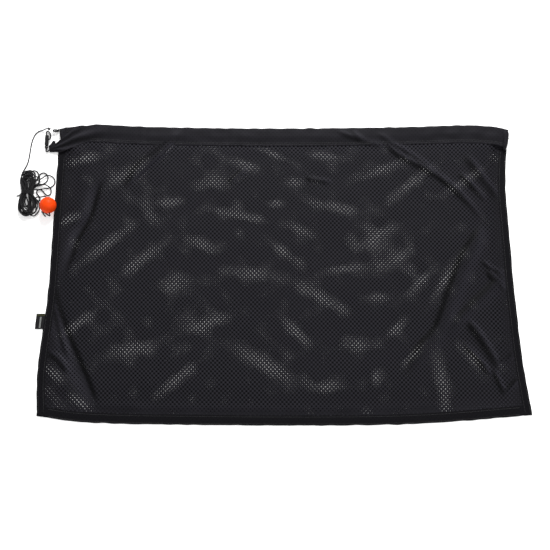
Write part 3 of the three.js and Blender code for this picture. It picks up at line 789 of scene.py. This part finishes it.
def crease_lines(x, y):
    """How high the creases stand over the cloth round them."""
    total = np.zeros(np.shape(x))
    wobble = 1 + 0.3 * waves(x, y, 60, 5)
    for points, height, left, right in CREASES:
        line = spline([(px, py, 0) for px, py in points], 12)[:, :2]
        nearest = np.full(np.shape(x), 1e9)
        side = np.zeros(np.shape(x))
        run = np.zeros(np.shape(x))
        for k, (a, b) in enumerate(zip(line[:-1], line[1:])):
            way = b - a
            t = np.clip(((x - a[0]) * way[0] + (y - a[1]) * way[1]) / way.dot(way), 0, 1)
            dx, dy = x - a[0] - t * way[0], y - a[1] - t * way[1]
            far = np.hypot(dx, dy)
            closer = far < nearest
            nearest = np.where(closer, far, nearest)
            side = np.where(closer, way[0] * dy - way[1] * dx, side)
            run = np.where(closer, (k + t) / (len(line) - 1), run)
        width = 1.15 * np.where(side > 0, left, right)
        ends = smooth(run / 0.22) * smooth((1 - run) / 0.3)
        total = total + 2.2 * height * wobble * ends * np.exp(-(nearest / width) ** 2)
    return 9 * np.tanh(total / 9)


FIELD_STEP = 3.0
FIELD_X, FIELD_Y = np.arange(-603, 604, FIELD_STEP), np.arange(-390, 391, FIELD_STEP)
crease_field = crease_lines(*np.meshgrid(FIELD_X, FIELD_Y, indexing="ij"))
crease_slope = np.gradient(crease_field, FIELD_STEP)


def sampled(field, x, y):
    """A value of the field between its points."""
    u = np.clip((x - FIELD_X[0]) / FIELD_STEP, 0, len(FIELD_X) - 1.001)
    v = np.clip((y - FIELD_Y[0]) / FIELD_STEP, 0, len(FIELD_Y) - 1.001)
    i, j = np.floor(u).astype(int), np.floor(v).astype(int)
    u, v = u - i, v - j
    low = field[i, j] * (1 - v) + field[i, j + 1] * v
    return low * (1 - u) + (field[i + 1, j] * (1 - v) + field[i + 1, j + 1] * v) * u


def crease_height(x, y):
    return sampled(crease_field, x, y)


def painted_fold_light(x, y):
    """Painted light and shade of the folds: how far a fold turns the cloth to the light (0 to 1), and how
    close its knit is drawn.
    """
    # Painted light: slopes that face +X are lighter, slopes that face -X darker.
    turned = -1.25 * sampled(crease_slope[0], x, y) - 0.15 * sampled(crease_slope[1], x, y)
    beside = np.minimum(x - inset(y, -1), inset(y, 1) - x)
    # Painted shade within about 17 mm of the seam bands, and a painted lighter strip just below the front
    # casing.
    rim = 0.24 * np.exp(-(np.maximum(beside, 0) / 17) ** 2)
    hem = 0.11 * np.exp(-((front_low(x) - y) / 18) ** 2)
    lit = np.clip(0.5 + 0.66 * np.tanh(turned / 0.65) - rim + hem, 0, 1)
    return np.stack([lit, np.clip(np.abs(sampled(crease_field, x, y)) / 3, 0, 1)], 1)


def inset(y, side):
    """X of the line where the CAD's panels start, inside the seam band of that side."""
    return (left_edge(y) + SIDE_BAND + SEAM_GAP) if side < 0 else right_edge(y) - SIDE_BAND - SEAM_GAP


def front_height(x, y):
    """The front sheet: flat at the seams, risen over the sack's inside, creased and slack."""
    to_side = np.minimum(x - inset(y, -1), inset(y, 1) - x)
    to_bottom = y - bottom_edge(x) - BOTTOM_BAND
    mouth = 1 - (front_low(x) - y) / RISE_RUN
    side = np.maximum(smooth(to_side / RISE_RUN), smooth(mouth) * smooth(3 * to_side / RISE_RUN))
    risen = 1.5 + (RISE - 1.4) * side * smooth(to_bottom / RISE_RUN)
    slack = 0.9 * waves(x, y, 150, 1) + 0.5 * waves(x, y, 60, 2)
    inside = smooth(np.minimum(to_side, to_bottom) / 30)
    risen = risen + inside * (slack * smooth((front_low(x) - y) / 30) + crease_height(x, y))
    return np.maximum(risen, 1.5)


def back_height(x, y):
    return 0.75 + 0.3 * waves(x, y, 90, 3)


def openness(x, y):
    shut = 1.0
    for px, py, long, wide, angle in OPEN_PATCHES:
        c, s = math.cos(math.radians(angle)), math.sin(math.radians(angle))
        along = ((x - px) * c + (y - py) * s) / (1.1 * long)
        across = ((y - py) * c - (x - px) * s) / (1.05 * wide)
        shut = shut * (1 - 0.8 * np.exp(-along ** 2 - across ** 2))
    return 1 - shut


def sheet_offset(x, y):
    """How far the front sheet's lattice has slipped over the back one's, in X and Y."""
    slip = 1 - openness(x, y)
    away = 0.375 * PITCH_X * slip
    turn = 0.9 * waves(x, y, 260, 8)
    return (away * np.cos(turn) + 1.1 * slip * waves(x, y, 45, 6),
            away * np.sin(turn) * 0.5 + 1.1 * slip * waves(x, y, 45, 7))


def lattice_sheet(keep):
    """A flat perforated sheet: points, faces and the number of holes; keep picks the holes."""
    i, j = np.meshgrid(np.arange(-160, 161), np.arange(-100, 101), indexing="ij")
    even = (i + j) % 2 == 0
    i, j = i[even], j[even]
    kept = keep(i * PITCH_X / 2, j * PITCH_Y / 2)
    i, j = i[kept], j[kept]
    span = 1000
    around = [(1, 0), (0, 1), (-1, 0), (0, -1)]
    names = np.stack([(i + a + span) * 2 * span + j + b + span for a, b in around], 1)
    joints, index = np.unique(names, return_inverse=True)
    index = index.reshape(names.shape)
    joints = np.stack([joints // (2 * span) - span, joints % (2 * span) - span], 1)
    joints = joints * (PITCH_X / 2, PITCH_Y / 2)
    centre = np.stack([i * PITCH_X / 2, j * PITCH_Y / 2], 1)
    eighths = np.arange(8) * TURN / 8
    rim = centre[:, None] + HOLE * np.stack([np.cos(eighths), np.sin(eighths)], 1)[None]
    rims = len(joints) + np.arange(8 * len(i)).reshape(-1, 8)
    even, odd = rims[:, ::2], rims[:, 1::2]
    quads = np.stack([index, np.roll(index, -1, 1), np.roll(even, -1, 1), odd], 2)
    corners = np.stack([index, odd, even], 2)
    faces = [quads.reshape(-1, 4), corners.reshape(-1, 3)]
    return np.vstack([joints, rim.reshape(-1, 2)]), faces, len(i)


TUCK = 12  # how far a sheet goes on inside the bands


def panel(name, node, top, offset, height):
    """A perforated sheet whose edges end inside the seam bands and the casing, and its holes' area."""
    def keep(x, y):
        return ((x > inset(y, -1) - TUCK) & (x < inset(y, 1) + TUCK) & (y < top(x))
                & (y > bottom_edge(x) + BOTTOM_BAND - TUCK))

    flat, faces, holes = lattice_sheet(keep)
    dx, dy = offset(flat[:, 0], flat[:, 1])
    x, y = flat[:, 0] + dx, flat[:, 1] + dy
    points = np.stack([x, y, height(x, y)], 1)
    low, high = flat.min(0), flat.max(0)
    # The front sheet's "Fold" layer holds the painted light and shade of its creases.
    folds = painted_fold_light(x, y) if name == "front_mesh" else np.tile(NO_FOLD, (len(x), 1))
    uv = {"OFBake": (flat - low) / (high - low).max(), "Cloth": flat, "Fold": folds}
    made = piece(name, points, faces, MESH, "mesh_cloth", uv=uv)
    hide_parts(node)
    cut = holes * PITCH_X * PITCH_Y / 2 - holes * 2 * math.sqrt(2) * HOLE ** 2
    return made, cut * MM ** 2


def front_offset(x, y):
    dx, dy = sheet_offset(x, y)
    z = front_height(x, y) - back_height(x, y)
    lean_x = (CAMERA_AT.x - x) * z / CAMERA_AT.z
    lean_y = (CAMERA_AT.y - y) * z / CAMERA_AT.z
    return dx / 2 + lean_x, dy / 2 + lean_y


def back_offset(x, y):
    dx, dy = sheet_offset(x, y)
    return -dx / 2, -dy / 2


front_panel, front_area = panel(
    "front_mesh", "front_mesh_panel", lambda x: front_low(x) + 16, front_offset, front_height)
back_panel, back_area = panel(
    "back_mesh", "back_mesh_panel", lambda x: top_edge(x) - CASING_WIDTH + 7, back_offset, back_height)


# ---------------------------------------------------------------- seam bands and casings

def rounded(width, thick, count=7):
    """The upper and lower line of a flat rounded section, as (across, up) from its middle."""
    across = np.cos(np.linspace(0, math.pi, count * 2))
    up = (1 - np.abs(across) ** 5) ** 0.5
    upper = np.stack([across * width / 2, up * thick / 2], 1)
    return np.vstack([upper, upper[::-1][1:-1] * (1, -1)])


def strip(outer, inner, thick, seed, lift=0.0):
    """A closed flat band between two lines of (x, y) points, thicker at its folded outer edge."""
    rings = []
    section = rounded(2, 1)
    for (x0, y0), (x1, y1) in zip(outer, inner):
        side = (section[:, 0] + 1) / 2
        x, y = x1 + (x0 - x1) * side, y1 + (y0 - y1) * side
        fat = thick * (0.8 + 0.35 * side ** 2)
        ripple = 0.25 * waves(x, y, 26, seed) + 0.15 * waves(x, y, 11, seed + 1)
        up = section[:, 1] > 0
        z = fat * (0.5 + section[:, 1]) + np.where(up, ripple, 0) + lift
        frill = 0.8 * waves(x, y, 34, seed + 2) * (side > 0.9)
        way = unit([x0 - x1, y0 - y1])
        rings.append(np.stack([x + way[0] * frill, y + way[1] * frill, np.maximum(z, 0.05)], 1))
    return loft(rings)


def side_band(name, node, edge, side, foot, top):
    y = np.arange(foot, top + 1, 4.0)
    outer = np.stack([edge(y), y], 1)
    inner = np.stack([edge(y) - side * (SIDE_BAND + 1), y], 1)
    inner[0, 1] = bottom_edge(inner[0, 0])
    points, faces = strip(outer, inner, 2.3, 20 + side)
    made = piece(name, points, faces, BAND, "hem_cloth")
    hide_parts(node)
    return made


left_band = side_band("left_hem", "left_seam_band", left_edge, -1, -350, LEFT_TOP)
right_band = side_band("right_hem", "right_seam_band", right_edge, 1, -348, RIGHT_TOP)
low_x = np.linspace(-583, 576, 290)
low_outer = np.stack([low_x, bottom_edge(low_x)], 1)
low_inner = np.stack([low_x * 0.997, bottom_edge(low_x) + BOTTOM_BAND + 1], 1)
bottom_points, bottom_faces = strip(low_outer, low_inner, 2.3, 30)
bottom_band = piece("bottom_hem", bottom_points, bottom_faces, BAND, "hem_cloth")
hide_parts("bottom_seam_band")


TAB_X, TAB_Y = -585, 296
GATHER_HEIGHT = 3.2
CREASE_ON_HEM = 0.7  # the share of a crease's height that the front casing follows
SLOPE_STEP = 1.5


def gathers(x, y):
    """Folds that fan out from the place where the tab is drawn together."""
    angle, far = np.arctan2(y - TAB_Y, x - TAB_X), np.hypot(x - TAB_X, y - TAB_Y)
    return np.sin(angle * 21 + 0.9 * waves(x, y, 60, 70)) * np.exp(-((far - 80) / 62) ** 2)


def casing(name, node, stations, seed, wall=0.9, droop=0.0):
    """A flattened tube of cloth, open at its ends, gathered by the cord that runs in it, with painted light
    and shade on its gathers.
    """
    profile = rounded(1, 1, 9)
    inside, outside, gather_light_and_shade = [], [], []
    stations = np.asarray(stations, float)
    line = stations[:, :2]
    ahead = unit(np.gradient(line, axis=0))
    for (x, y, base, width), (ax, ay) in zip(stations, ahead):
        for rings, shrink in ((outside, 0), (inside, wall)):
            across = profile[:, 0] * (width - 2 * shrink)
            px, py = x - ay * across, y + ax * across
            pucker = 0.7 * waves(px, py * 0.35, 16, seed) + 0.8 * waves(px, py, 45, seed + 1)
            over_cord = 0.5 * np.exp(-(across / 5) ** 2)
            sewn = 1 - smooth((profile[:, 0] + 0.5) / 0.55)
            top_side = profile[:, 1] > 0
            up = profile[:, 1] * (CASING_HEIGHT - 2 * shrink) * (1 - 0.75 * sewn)
            folds, ahead_x, ahead_y = (
                GATHER_HEIGHT * gathers(qx, qy)
                + (CREASE_ON_HEM * crease_height(qx, qy) if droop else 0)
                for qx, qy in ((px, py), (px + SLOPE_STEP, py), (px, py + SLOPE_STEP)))
            # Painted light and shade: slopes of the gathers and creases that face +X and +Y are lighter and
            # the others darker, with some random change.
            lit = 0.5 * np.tanh((1.5 * folds - 0.75 * ahead_x - 0.95 * ahead_y) + 0.2 * folds) / 1.2
            lit = lit + 0.1 * waves(px * 0.5, py, 22, seed + 4)
            # The sewn edge is painted a little lighter.
            gather_light_and_shade.append(np.clip(0.5 + np.where(top_side, lit, 0) + 0.08 * sewn, 0, 1))
            pucker = pucker + folds * (1 - sewn)
            z = base + CASING_HEIGHT / 2 + up + np.where(top_side, pucker + over_cord, 0)
            z = z - droop * sewn
            ragged = 0.9 * waves(px, py, 30, seed + 2) * np.abs(profile[:, 0]) * 2
            px, py = px - ay * ragged * np.sign(across), py + ax * ragged * np.sign(across)
            rings.append(np.stack([px, py, np.maximum(z, 0.05)], 1))
    rings = np.array(outside + inside[::-1])
    gather_light_and_shade = np.array(gather_light_and_shade[::2] + gather_light_and_shade[::-2]).ravel()
    faces = grid_faces(len(rings), rings.shape[1], closed_rows=True, closed_columns=True)
    made = piece(name, rings.reshape(-1, 3), faces, HEM, "hem_cloth",
                 uv={"Fold": np.stack([gather_light_and_shade, 0 * gather_light_and_shade], 1)})
    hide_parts(node)
    return made


FRONT_TAB = [
    (-583, 300.5, 2.5, 16), (-574, 302, 4.4, 21), (-560, 303.5, 6.6, 25),
    (-542, 312, 8.4, 30), (-520, 323.5, 10, 36), (-500, 333, FRONT_BASE, 40)]
run_x = np.arange(-470, CASING_RIGHT + 1, 5.0)
front_run = np.stack([run_x, casing_middle(run_x), 0 * run_x + FRONT_BASE, 0 * run_x + CASING_WIDTH], 1)
tab_run = [tuple(p) for p in front_run[::8]] + [tuple(front_run[-1])]
front_stations = spline(FRONT_TAB + tab_run, 4.0)
front_casing = casing("front_hem", "front_casing", front_stations, 50, droop=3.1)
back_x = np.arange(CASING_LEFT, CASING_RIGHT + 1, 4.5)
back_casing = casing("back_hem", "back_casing", np.stack(
    [back_x, casing_middle(back_x), 0 * back_x, 0 * back_x + CASING_WIDTH], 1), 60)

# Where the hem turns from the front to the back, at the sack's right corner.
corner_edge = through([(297, 544.5), (308, 548), (320, 551), (334, 553.2), (343, 551.5), (348, 546.5)])
corner_top = through([(297, 12), (308, 16.5), (334, 17.6), (343, 17), (348, 14.5)])
CORNER_IN, CORNER_HOLLOW, CORNER_WALL = 537, 540, 0.9  # hollow from the second one outwards
corner_rings = []
for cy in np.arange(297, 348.6, 2.4):
    reach, top = float(corner_edge(cy)), float(corner_top(cy))
    low = 0.2 + 0.12 * (18 - top)
    mid = (low + top) / 2
    bend = [(reach - 6, 0), (reach - 2, 1.4), (reach - 0.3, 5)]
    outer = [(CORNER_IN, top - 0.4)] + [(x, top - down) for x, down in bend] + [(reach, mid)]
    outer += [(x, low + up) for x, up in bend[::-1]] + [(CORNER_IN, low)]
    inner = [(x - CORNER_WALL * (x >= CORNER_HOLLOW), z - CORNER_WALL * np.sign(z - mid)) for x, z in outer]
    corner_rings.append([
        (x + 0.5 * float(waves(x, cy, 20, 75)), cy, max(0.05, z + 0.4 * float(waves(cy, z, 14, 76))))
        for x, z in outer + inner[::-1]])
piece("corner_fold", *loft(corner_rings), HEM, "hem_cloth")

# The tab's spare cloth, folded over into a narrow upright flap.
flap_line = spline([(-578, 303, 6.2), (-575.5, 309, 6.6), (-572.5, 315, 6.4), (-570.6, 320.5, 5.8)], 1.2)
flap_width = through([(0, 13), (0.4, 10), (0.8, 8), (1, 6.5)])(np.linspace(0, 1, len(flap_line)))
flap_rings = []
for (fx, fy, fz), w in zip(flap_line, flap_width):
    section = rounded(w, 2.2, 6)
    flap_rings.append(np.stack([
        fx + section[:, 0] * 0.95, fy - section[:, 0] * 0.3,
        fz + section[:, 1] + 0.3 * np.sin(section[:, 0] * 0.9)], 1))
piece("tab_flap", *loft(flap_rings), HEM, "hem_cloth")


# ---------------------------------------------------------------- drawcord

SNAP_HEIGHT = 5.4
BARREL_X, BOLT_X = -589.4, -591
low_z = CASING_HEIGHT / 2
high_z = FRONT_BASE + low_z
cord_x = np.arange(-440, CASING_RIGHT - 2, 50.0)
corner_y = float(casing_middle(CASING_RIGHT - 3))
drawcord_points = [
    (-589.6, 296, 5.2), (-589.9, 294.5, 3.8), (-588.4, 293, 2.7), (-585.6, 294.4, 4),
    (-582, 297.6, 5.6), (-572, 301.8, 7.4), (-560, 303.5, 9.4), (-542, 312, 11.2),
    (-520, 323.5, 12.8), (-500, 333, high_z), (-470, float(casing_middle(-470)), high_z)]
drawcord_points += [(x, float(casing_middle(x)), high_z) for x in cord_x]
drawcord_points += [
    (CASING_RIGHT, corner_y, high_z), (CASING_RIGHT + 4, corner_y, high_z - 2),
    (CASING_RIGHT + 5.5, corner_y, (low_z + high_z) / 2), (CASING_RIGHT + 4, corner_y, low_z + 2),
    (CASING_RIGHT, corner_y, low_z)]
drawcord_points += [(x, float(casing_middle(x)), low_z) for x in cord_x[::-1]]
drawcord_points += [
    (-470, 342.4, low_z), (-500, 343.6, low_z), (-530, 345.6, low_z), (-558, 346.8, low_z),
    (-561, 347.6, low_z), (-565, 349.7, 2.4), (-569.2, 350.9, 2.3), (-573, 350.4, 2.9),
    (-575.2, 348.2, 4.8), (-574.2, 345.7, 6.8), (-571, 344.7, 7.6), (-567.6, 344.6, 6.9),
    (-564.4, 345.4, 5.6)]
drawcord_path = spline(drawcord_points, 2.0)
knot_wraps = [
    (-564.4 + 2.6 * math.cos(a), 347.2 + 0.55 * (a - 6), 4.3 + 2.5 * math.sin(a))
    for a in np.linspace(0.9, 0.9 + 1.9 * TURN, 40)]
braids = [tube(drawcord_path, CORD), tube(spline(knot_wraps, 0.7), 1.35)]
drawcord = piece("drawcord_braid", *merged(braids), CORD_BRAID, "cord",
                 uv={"Along": np.vstack([uv for _, _, uv in braids])})
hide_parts("drawcord")

EYE_Y, EYE_OUTER, EYE_HOLE = 304.8, 4.2, 2.3
eye_bar_y = EYE_Y - (EYE_OUTER + EYE_HOLE) / 2
eye_turn = np.linspace(0, TURN, 60)[:-1]
eye_loop_path = np.stack([
    np.full(len(eye_turn), BARREL_X), eye_bar_y + 3.05 * np.cos(eye_turn),
    SNAP_HEIGHT + 3.85 * np.sin(eye_turn)], 1)
eye_loop = cord_piece("eye_loop", eye_loop_path, CORD, body="swivel", closed=True)
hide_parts("drawcord_eye_loop")


# ---------------------------------------------------------------- steel ring and its hitch

RING_CENTRE = np.array([-578.5, 345, 5.9])
RING_RADIUS, RING_WIRE = 9, 0.6
RING_TILT = math.radians(29.5)
HITCH_ANGLE = math.radians(108)
uphill_flat = unit([-0.453, 0.892, 0])
ring_across = np.array([uphill_flat[1], -uphill_flat[0], 0])
ring_uphill = uphill_flat * math.cos(RING_TILT) + np.array([0, 0, math.sin(RING_TILT)])


def on_ring(angle, radius=RING_RADIUS):
    return RING_CENTRE + radius * (math.cos(angle) * ring_across + math.sin(angle) * ring_uphill)


ring_path = np.array([on_ring(a) for a in np.linspace(0, TURN, 97)[:-1]])
weld_path = [on_ring(a) for a in np.linspace(-0.75, -0.57, 9)]
wires = [tube(ring_path, RING_WIRE, sides=14, closed=True), tube(weld_path, RING_WIRE * 1.12, sides=14)]
ring = piece("ring", *merged(wires), STEEL, "steel", "ring")
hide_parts("steel_ring")

hitch_at = on_ring(HITCH_ANGLE)
hitch_along = unit(on_ring(HITCH_ANGLE + 0.05) - on_ring(HITCH_ANGLE - 0.05))
hitch_out = unit(hitch_at - RING_CENTRE)
hitch_up = np.cross(hitch_along, hitch_out)
hitch_radius = RING_WIRE + CORD + 0.15
hitch_path = []
for t in np.linspace(-0.55, 1.6, 60):
    a = TURN * t
    spread = 1.4 * t - 1.0
    hitch_path.append(hitch_at + hitch_along * spread * 1.25
                      + hitch_radius * (math.cos(a) * hitch_out + math.sin(a) * hitch_up))
start = np.array(RUN_DOWN[0])
hitch_path = [start] + [(start * 2 + hitch_path[0]) / 3 + (0, 0.4, 0.4)] + hitch_path[3:]
hitch = cord_piece("hitch", spline(hitch_path, 0.8), CORD * 0.94)
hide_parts("ring_hitch")


# ---------------------------------------------------------------- hank tie and stop knot

tie_section = [(-643.6, 3.2), (-642.4, 10.6), (-637, 13.2), (-630, 13.8), (-622, 13.2), (-617.6, 10.4),
               (-616.4, 3.6), (-621, 0.9), (-631, 0.9), (-640, 0.9)]
tie_path = []
for turn in range(3):
    for k, (x, z) in enumerate(tie_section):
        slope = 0.18 * (x + 630) * (1 if z > 6 else 0.2)
        advance = (turn + k / len(tie_section)) * 2.9 - 5.6
        tie_path.append((x - (0.3 if turn == 1 else 0), HANK_WAIST - slope + advance, max(z, CORD)))
tie_path += [(-645, 189, 3), (-649.5, 184.5, 1.8), (-653.5, 182.2, 1.5), (-657.5, 181.4, 1.5)]
tie = cord_piece("tie", spline(tie_path, 1.2), 1.35)
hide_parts("hank_tie")


def overhand(centre, size, lean):
    """The line of a tight overhand knot."""
    out = []
    for a in np.linspace(-2.4, 2.4, 70):
        x = math.sin(a) + 2 * math.sin(2 * a)
        y = math.cos(a) - 2 * math.cos(2 * a)
        z = -math.sin(3 * a)
        out.append((x, y, z))
    out = np.array(out) * size
    turn = np.array(Matrix.Rotation(lean, 3, "Z") @ Matrix.Rotation(0.5, 3, "Y"))
    return out @ turn.T + np.array(centre)


knot_line = overhand((-590, 140, 3.9), (1.25, 0.95, 1.5), 0.4)
stop_knot = cord_piece("stop_knot_braid", knot_line, CORD * 0.95)
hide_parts("stop_knot")


# ---------------------------------------------------------------- float ball

def float_ball():
    """A ball turned round its cord hole, with rounded hole rims and a fine mould seam."""
    bore, rim = 2.25, 1.1
    profile = [(bore, z) for z in np.linspace(-12, 12, 7)]
    edge = math.asin((bore + rim) / BALL_RADIUS)
    top = BALL_RADIUS * math.cos(edge) - 0.3
    for a in np.linspace(0, math.pi / 2, 6):
        profile.append((bore + rim * (1 - math.cos(a)), top - rim + rim * math.sin(a)))
    for a in np.linspace(edge + 0.02, math.pi - edge - 0.02, 73):
        seam = 0.16 * math.exp(-((a - math.pi / 2) / 0.022) ** 2)
        profile.append(((BALL_RADIUS + seam) * math.sin(a), (BALL_RADIUS + seam) * math.cos(a)))
    for a in np.linspace(math.pi / 2, 0, 6):
        profile.append((bore + rim * (1 - math.cos(a)), -(top - rim + rim * math.sin(a))))
    count = 96
    side = unit(np.cross(BALL_AXIS, [0, 0, 1]))
    up = np.cross(side, BALL_AXIS)
    rings = []
    for radius, z in profile:
        a = np.arange(count) * TURN / count
        round_ = np.cos(a)[:, None] * side + np.sin(a)[:, None] * up
        rings.append(BALL_CENTRE + BALL_AXIS * z + radius * round_)
    rings = np.array(rings)
    faces = grid_faces(len(rings), count, closed_rows=True, closed_columns=True)
    made = piece("float", rings.reshape(-1, 3), faces, PAINT, "float_paint", "float")
    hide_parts("float_ball")
    return made


ball = float_ball()


# ---------------------------------------------------------------- bolt snap

def moulded(name, node, body, voxel, rounds):
    """A CAD solid with its facets and edges softened as a moulding's are."""
    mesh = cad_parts[node].data.copy()
    mesh.name = name
    made = bpy.data.objects.new(name, mesh)
    scene.collection.objects.link(made)
    remesh = made.modifiers.new("voxels", "REMESH")
    remesh.mode = "VOXEL"
    remesh.voxel_size = voxel * MM
    relax = made.modifiers.new("relax", "SMOOTH")
    relax.factor, relax.iterations = 0.5, rounds
    bpy.context.view_layer.update()
    baked = bpy.data.meshes.new_from_object(
        made.evaluated_get(bpy.context.evaluated_depsgraph_get()))
    made.modifiers.clear()
    made.data = baked
    baked.name = name
    baked.materials.clear()
    baked.materials.append(PLASTIC)
    baked.polygons.foreach_set("use_smooth", np.ones(len(baked.polygons), bool))
    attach(made, body)
    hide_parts(node)


moulded("snap", "snap_body", "sack", 0.28, 6)
moulded("bolt_and_thumb_knob", "snap_bolt", "bolt", 0.2, 4)
moulded("swivel_eye_moulding", "swivel_eye", "swivel", 0.22, 4)

SPRING_FROM, SPRING_TO, SPRING_TURNS = 315.02, 323.88, 5
SPRING_RADIUS = 1.2
spring_turn = np.linspace(0, SPRING_TURNS, SPRING_TURNS * 24 + 1)
pitch_ease = smooth(spring_turn / SPRING_TURNS) * 0.25 + 0.75 * spring_turn / SPRING_TURNS
spring_path = np.stack([
    BOLT_X + SPRING_RADIUS * np.cos(TURN * spring_turn),
    SPRING_FROM + (SPRING_TO - SPRING_FROM) * pitch_ease,
    SNAP_HEIGHT + SPRING_RADIUS * np.sin(TURN * spring_turn)], 1)
spring_points, spring_faces, _ = tube(spring_path, 0.22, sides=8)
spring = piece("spring_wire", spring_points, spring_faces, SPRING, "steel")
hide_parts("bolt_spring")
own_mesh(spring)


# ---------------------------------------------------------------- woven label

LABEL_LOW, LABEL_HIGH = -146, -109
LABEL_MIDDLE = (LABEL_LOW + LABEL_HIGH) / 2
LABEL_LEAN = 0.08
LABEL_SEAM = float(left_edge(-127))
LABEL_LEFT, LABEL_RIGHT = LABEL_SEAM - 20, LABEL_SEAM + 5  # its right end lies in the seam band


def label_weave():
    """Satin black tape with an olive bar at its head and plain pale ticks: no lettering."""
    black, pale, bright = (0.008, 0.008, 0.009), (0.3, 0.31, 0.3), (0.03, 0.032, 0.012)
    f = Finish("label_weave", black, 0.6, Sheen_Weight=0.02, Specular_IOR_Level=0.1)
    x, y, _ = f.split(f.place())
    head = f.math("GREATER_THAN", y, LABEL_HIGH - 5.5)
    head = f.times(head, f.math("LESS_THAN", y, LABEL_HIGH - 1.5))
    upright = f.math("MULTIPLY_ADD", y, -LABEL_LEAN, LABEL_LEAN * LABEL_MIDDLE)
    column = f.math("COMPARE", f.math("ADD", x, upright), LABEL_LEFT + 11, 1.9)
    span = f.math("COMPARE", y, LABEL_MIDDLE - 2.5, 13.5)
    ticks = f.math("LESS_THAN", f.math("FRACT", f.times(y, 0.42)), 0.55)
    marks = f.times(f.times(column, span), ticks)
    warp = f.bands(f.place(), 2.6, 0.3)
    weft = f.bands(f.place(), 2.2, 0.3, "Y")
    tone = f.mix(marks, black, pale)
    tone = f.mix(head, tone, bright)
    f.set("Base Color", f.mix(f.times(warp, 0.35), tone, shade(black, 0.6)))
    f.bump((warp, 0.5, 0.1), (weft, 0.5, 0.1))
    return f.material


label_section = rounded(LABEL_HIGH - LABEL_LOW, 1.1, 16)
label_rings = []
for t in np.linspace(0, 1, 22):
    x = LABEL_LEFT + t * (LABEL_RIGHT - LABEL_LEFT)
    curl = 1.1 + 0.9 * (1 - t) ** 3
    fold = 0.55 + 0.45 * smooth(t * 6)
    label_rings.append(np.stack([
        x + 0.25 * np.sin(label_section[:, 0] * 0.3) + LABEL_LEAN * label_section[:, 0],
        LABEL_MIDDLE + label_section[:, 0],
        curl + fold * label_section[:, 1] + 0.15 * np.sin(label_section[:, 0] * 0.21 + 1)], 1))
label = piece("label", *loft(label_rings), label_weave(), "label_weave")
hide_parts("woven_label")


# ---------------------------------------------------------------- stitching

def stitch_rows(rows, pitch=3.4, length=2.5, radius=0.24):
    """Short raised stitches along the rows, each row on top of its own cloth."""
    bpy.context.view_layer.update()
    bodies = []

    def surface(x, y, cloth):
        hit, where, _, _ = cloth.ray_cast(Vector((x, y, 60)) * MM, Vector((0, 0, -1)))
        return where.z / MM if hit else None

    for cloth, row in rows:
        row = even_steps(row, pitch)
        for (x, y), (x2, y2) in zip(row[:-1], row[1:]):
            ex, ey = x + (x2 - x) * length / pitch, y + (y2 - y) * length / pitch
            z, z2 = surface(x, y, cloth), surface(ex, ey, cloth)
            if z is None or z2 is None:
                continue
            a, b = np.array([x, y, z + 0.02]), np.array([ex, ey, z2 + 0.02])
            middle = (a + b) / 2 + (0, 0, 0.22)
            bodies.append(tube([a - (0, 0, 0.2), (a + middle) / 2 + (0, 0, 0.06), middle,
                                (b + middle) / 2 + (0, 0, 0.06), b - (0, 0, 0.2)],
                               radius, sides=5, round_ends=False)[:2])
    points, faces = merged(bodies)
    piece("stitching", points, faces, THREAD, "hem_cloth")


rows = []
for cloth, edge, side, foot, top in (
        (left_band, left_edge, -1, -344, 286), (right_band, right_edge, 1, -342, 298)):
    y = np.arange(foot, top, 6.0)
    for within in (3.5, 15.5):
        rows.append((cloth, np.stack([edge(y) - side * within, y], 1)))
for within in (3.5, 19.5):
    x = np.arange(-556, 552, 6.0)
    rows.append((bottom_band, np.stack([x, bottom_edge(x) + within], 1)))
for within in (40.5, 37):
    x = np.arange(-480, 545, 6.0)
    rows.append((front_casing, np.stack([x, top_edge(x) - within], 1)))
rows.append((back_casing, np.stack([x, top_edge(x) - 40.5], 1)))
stitch_rows(rows)
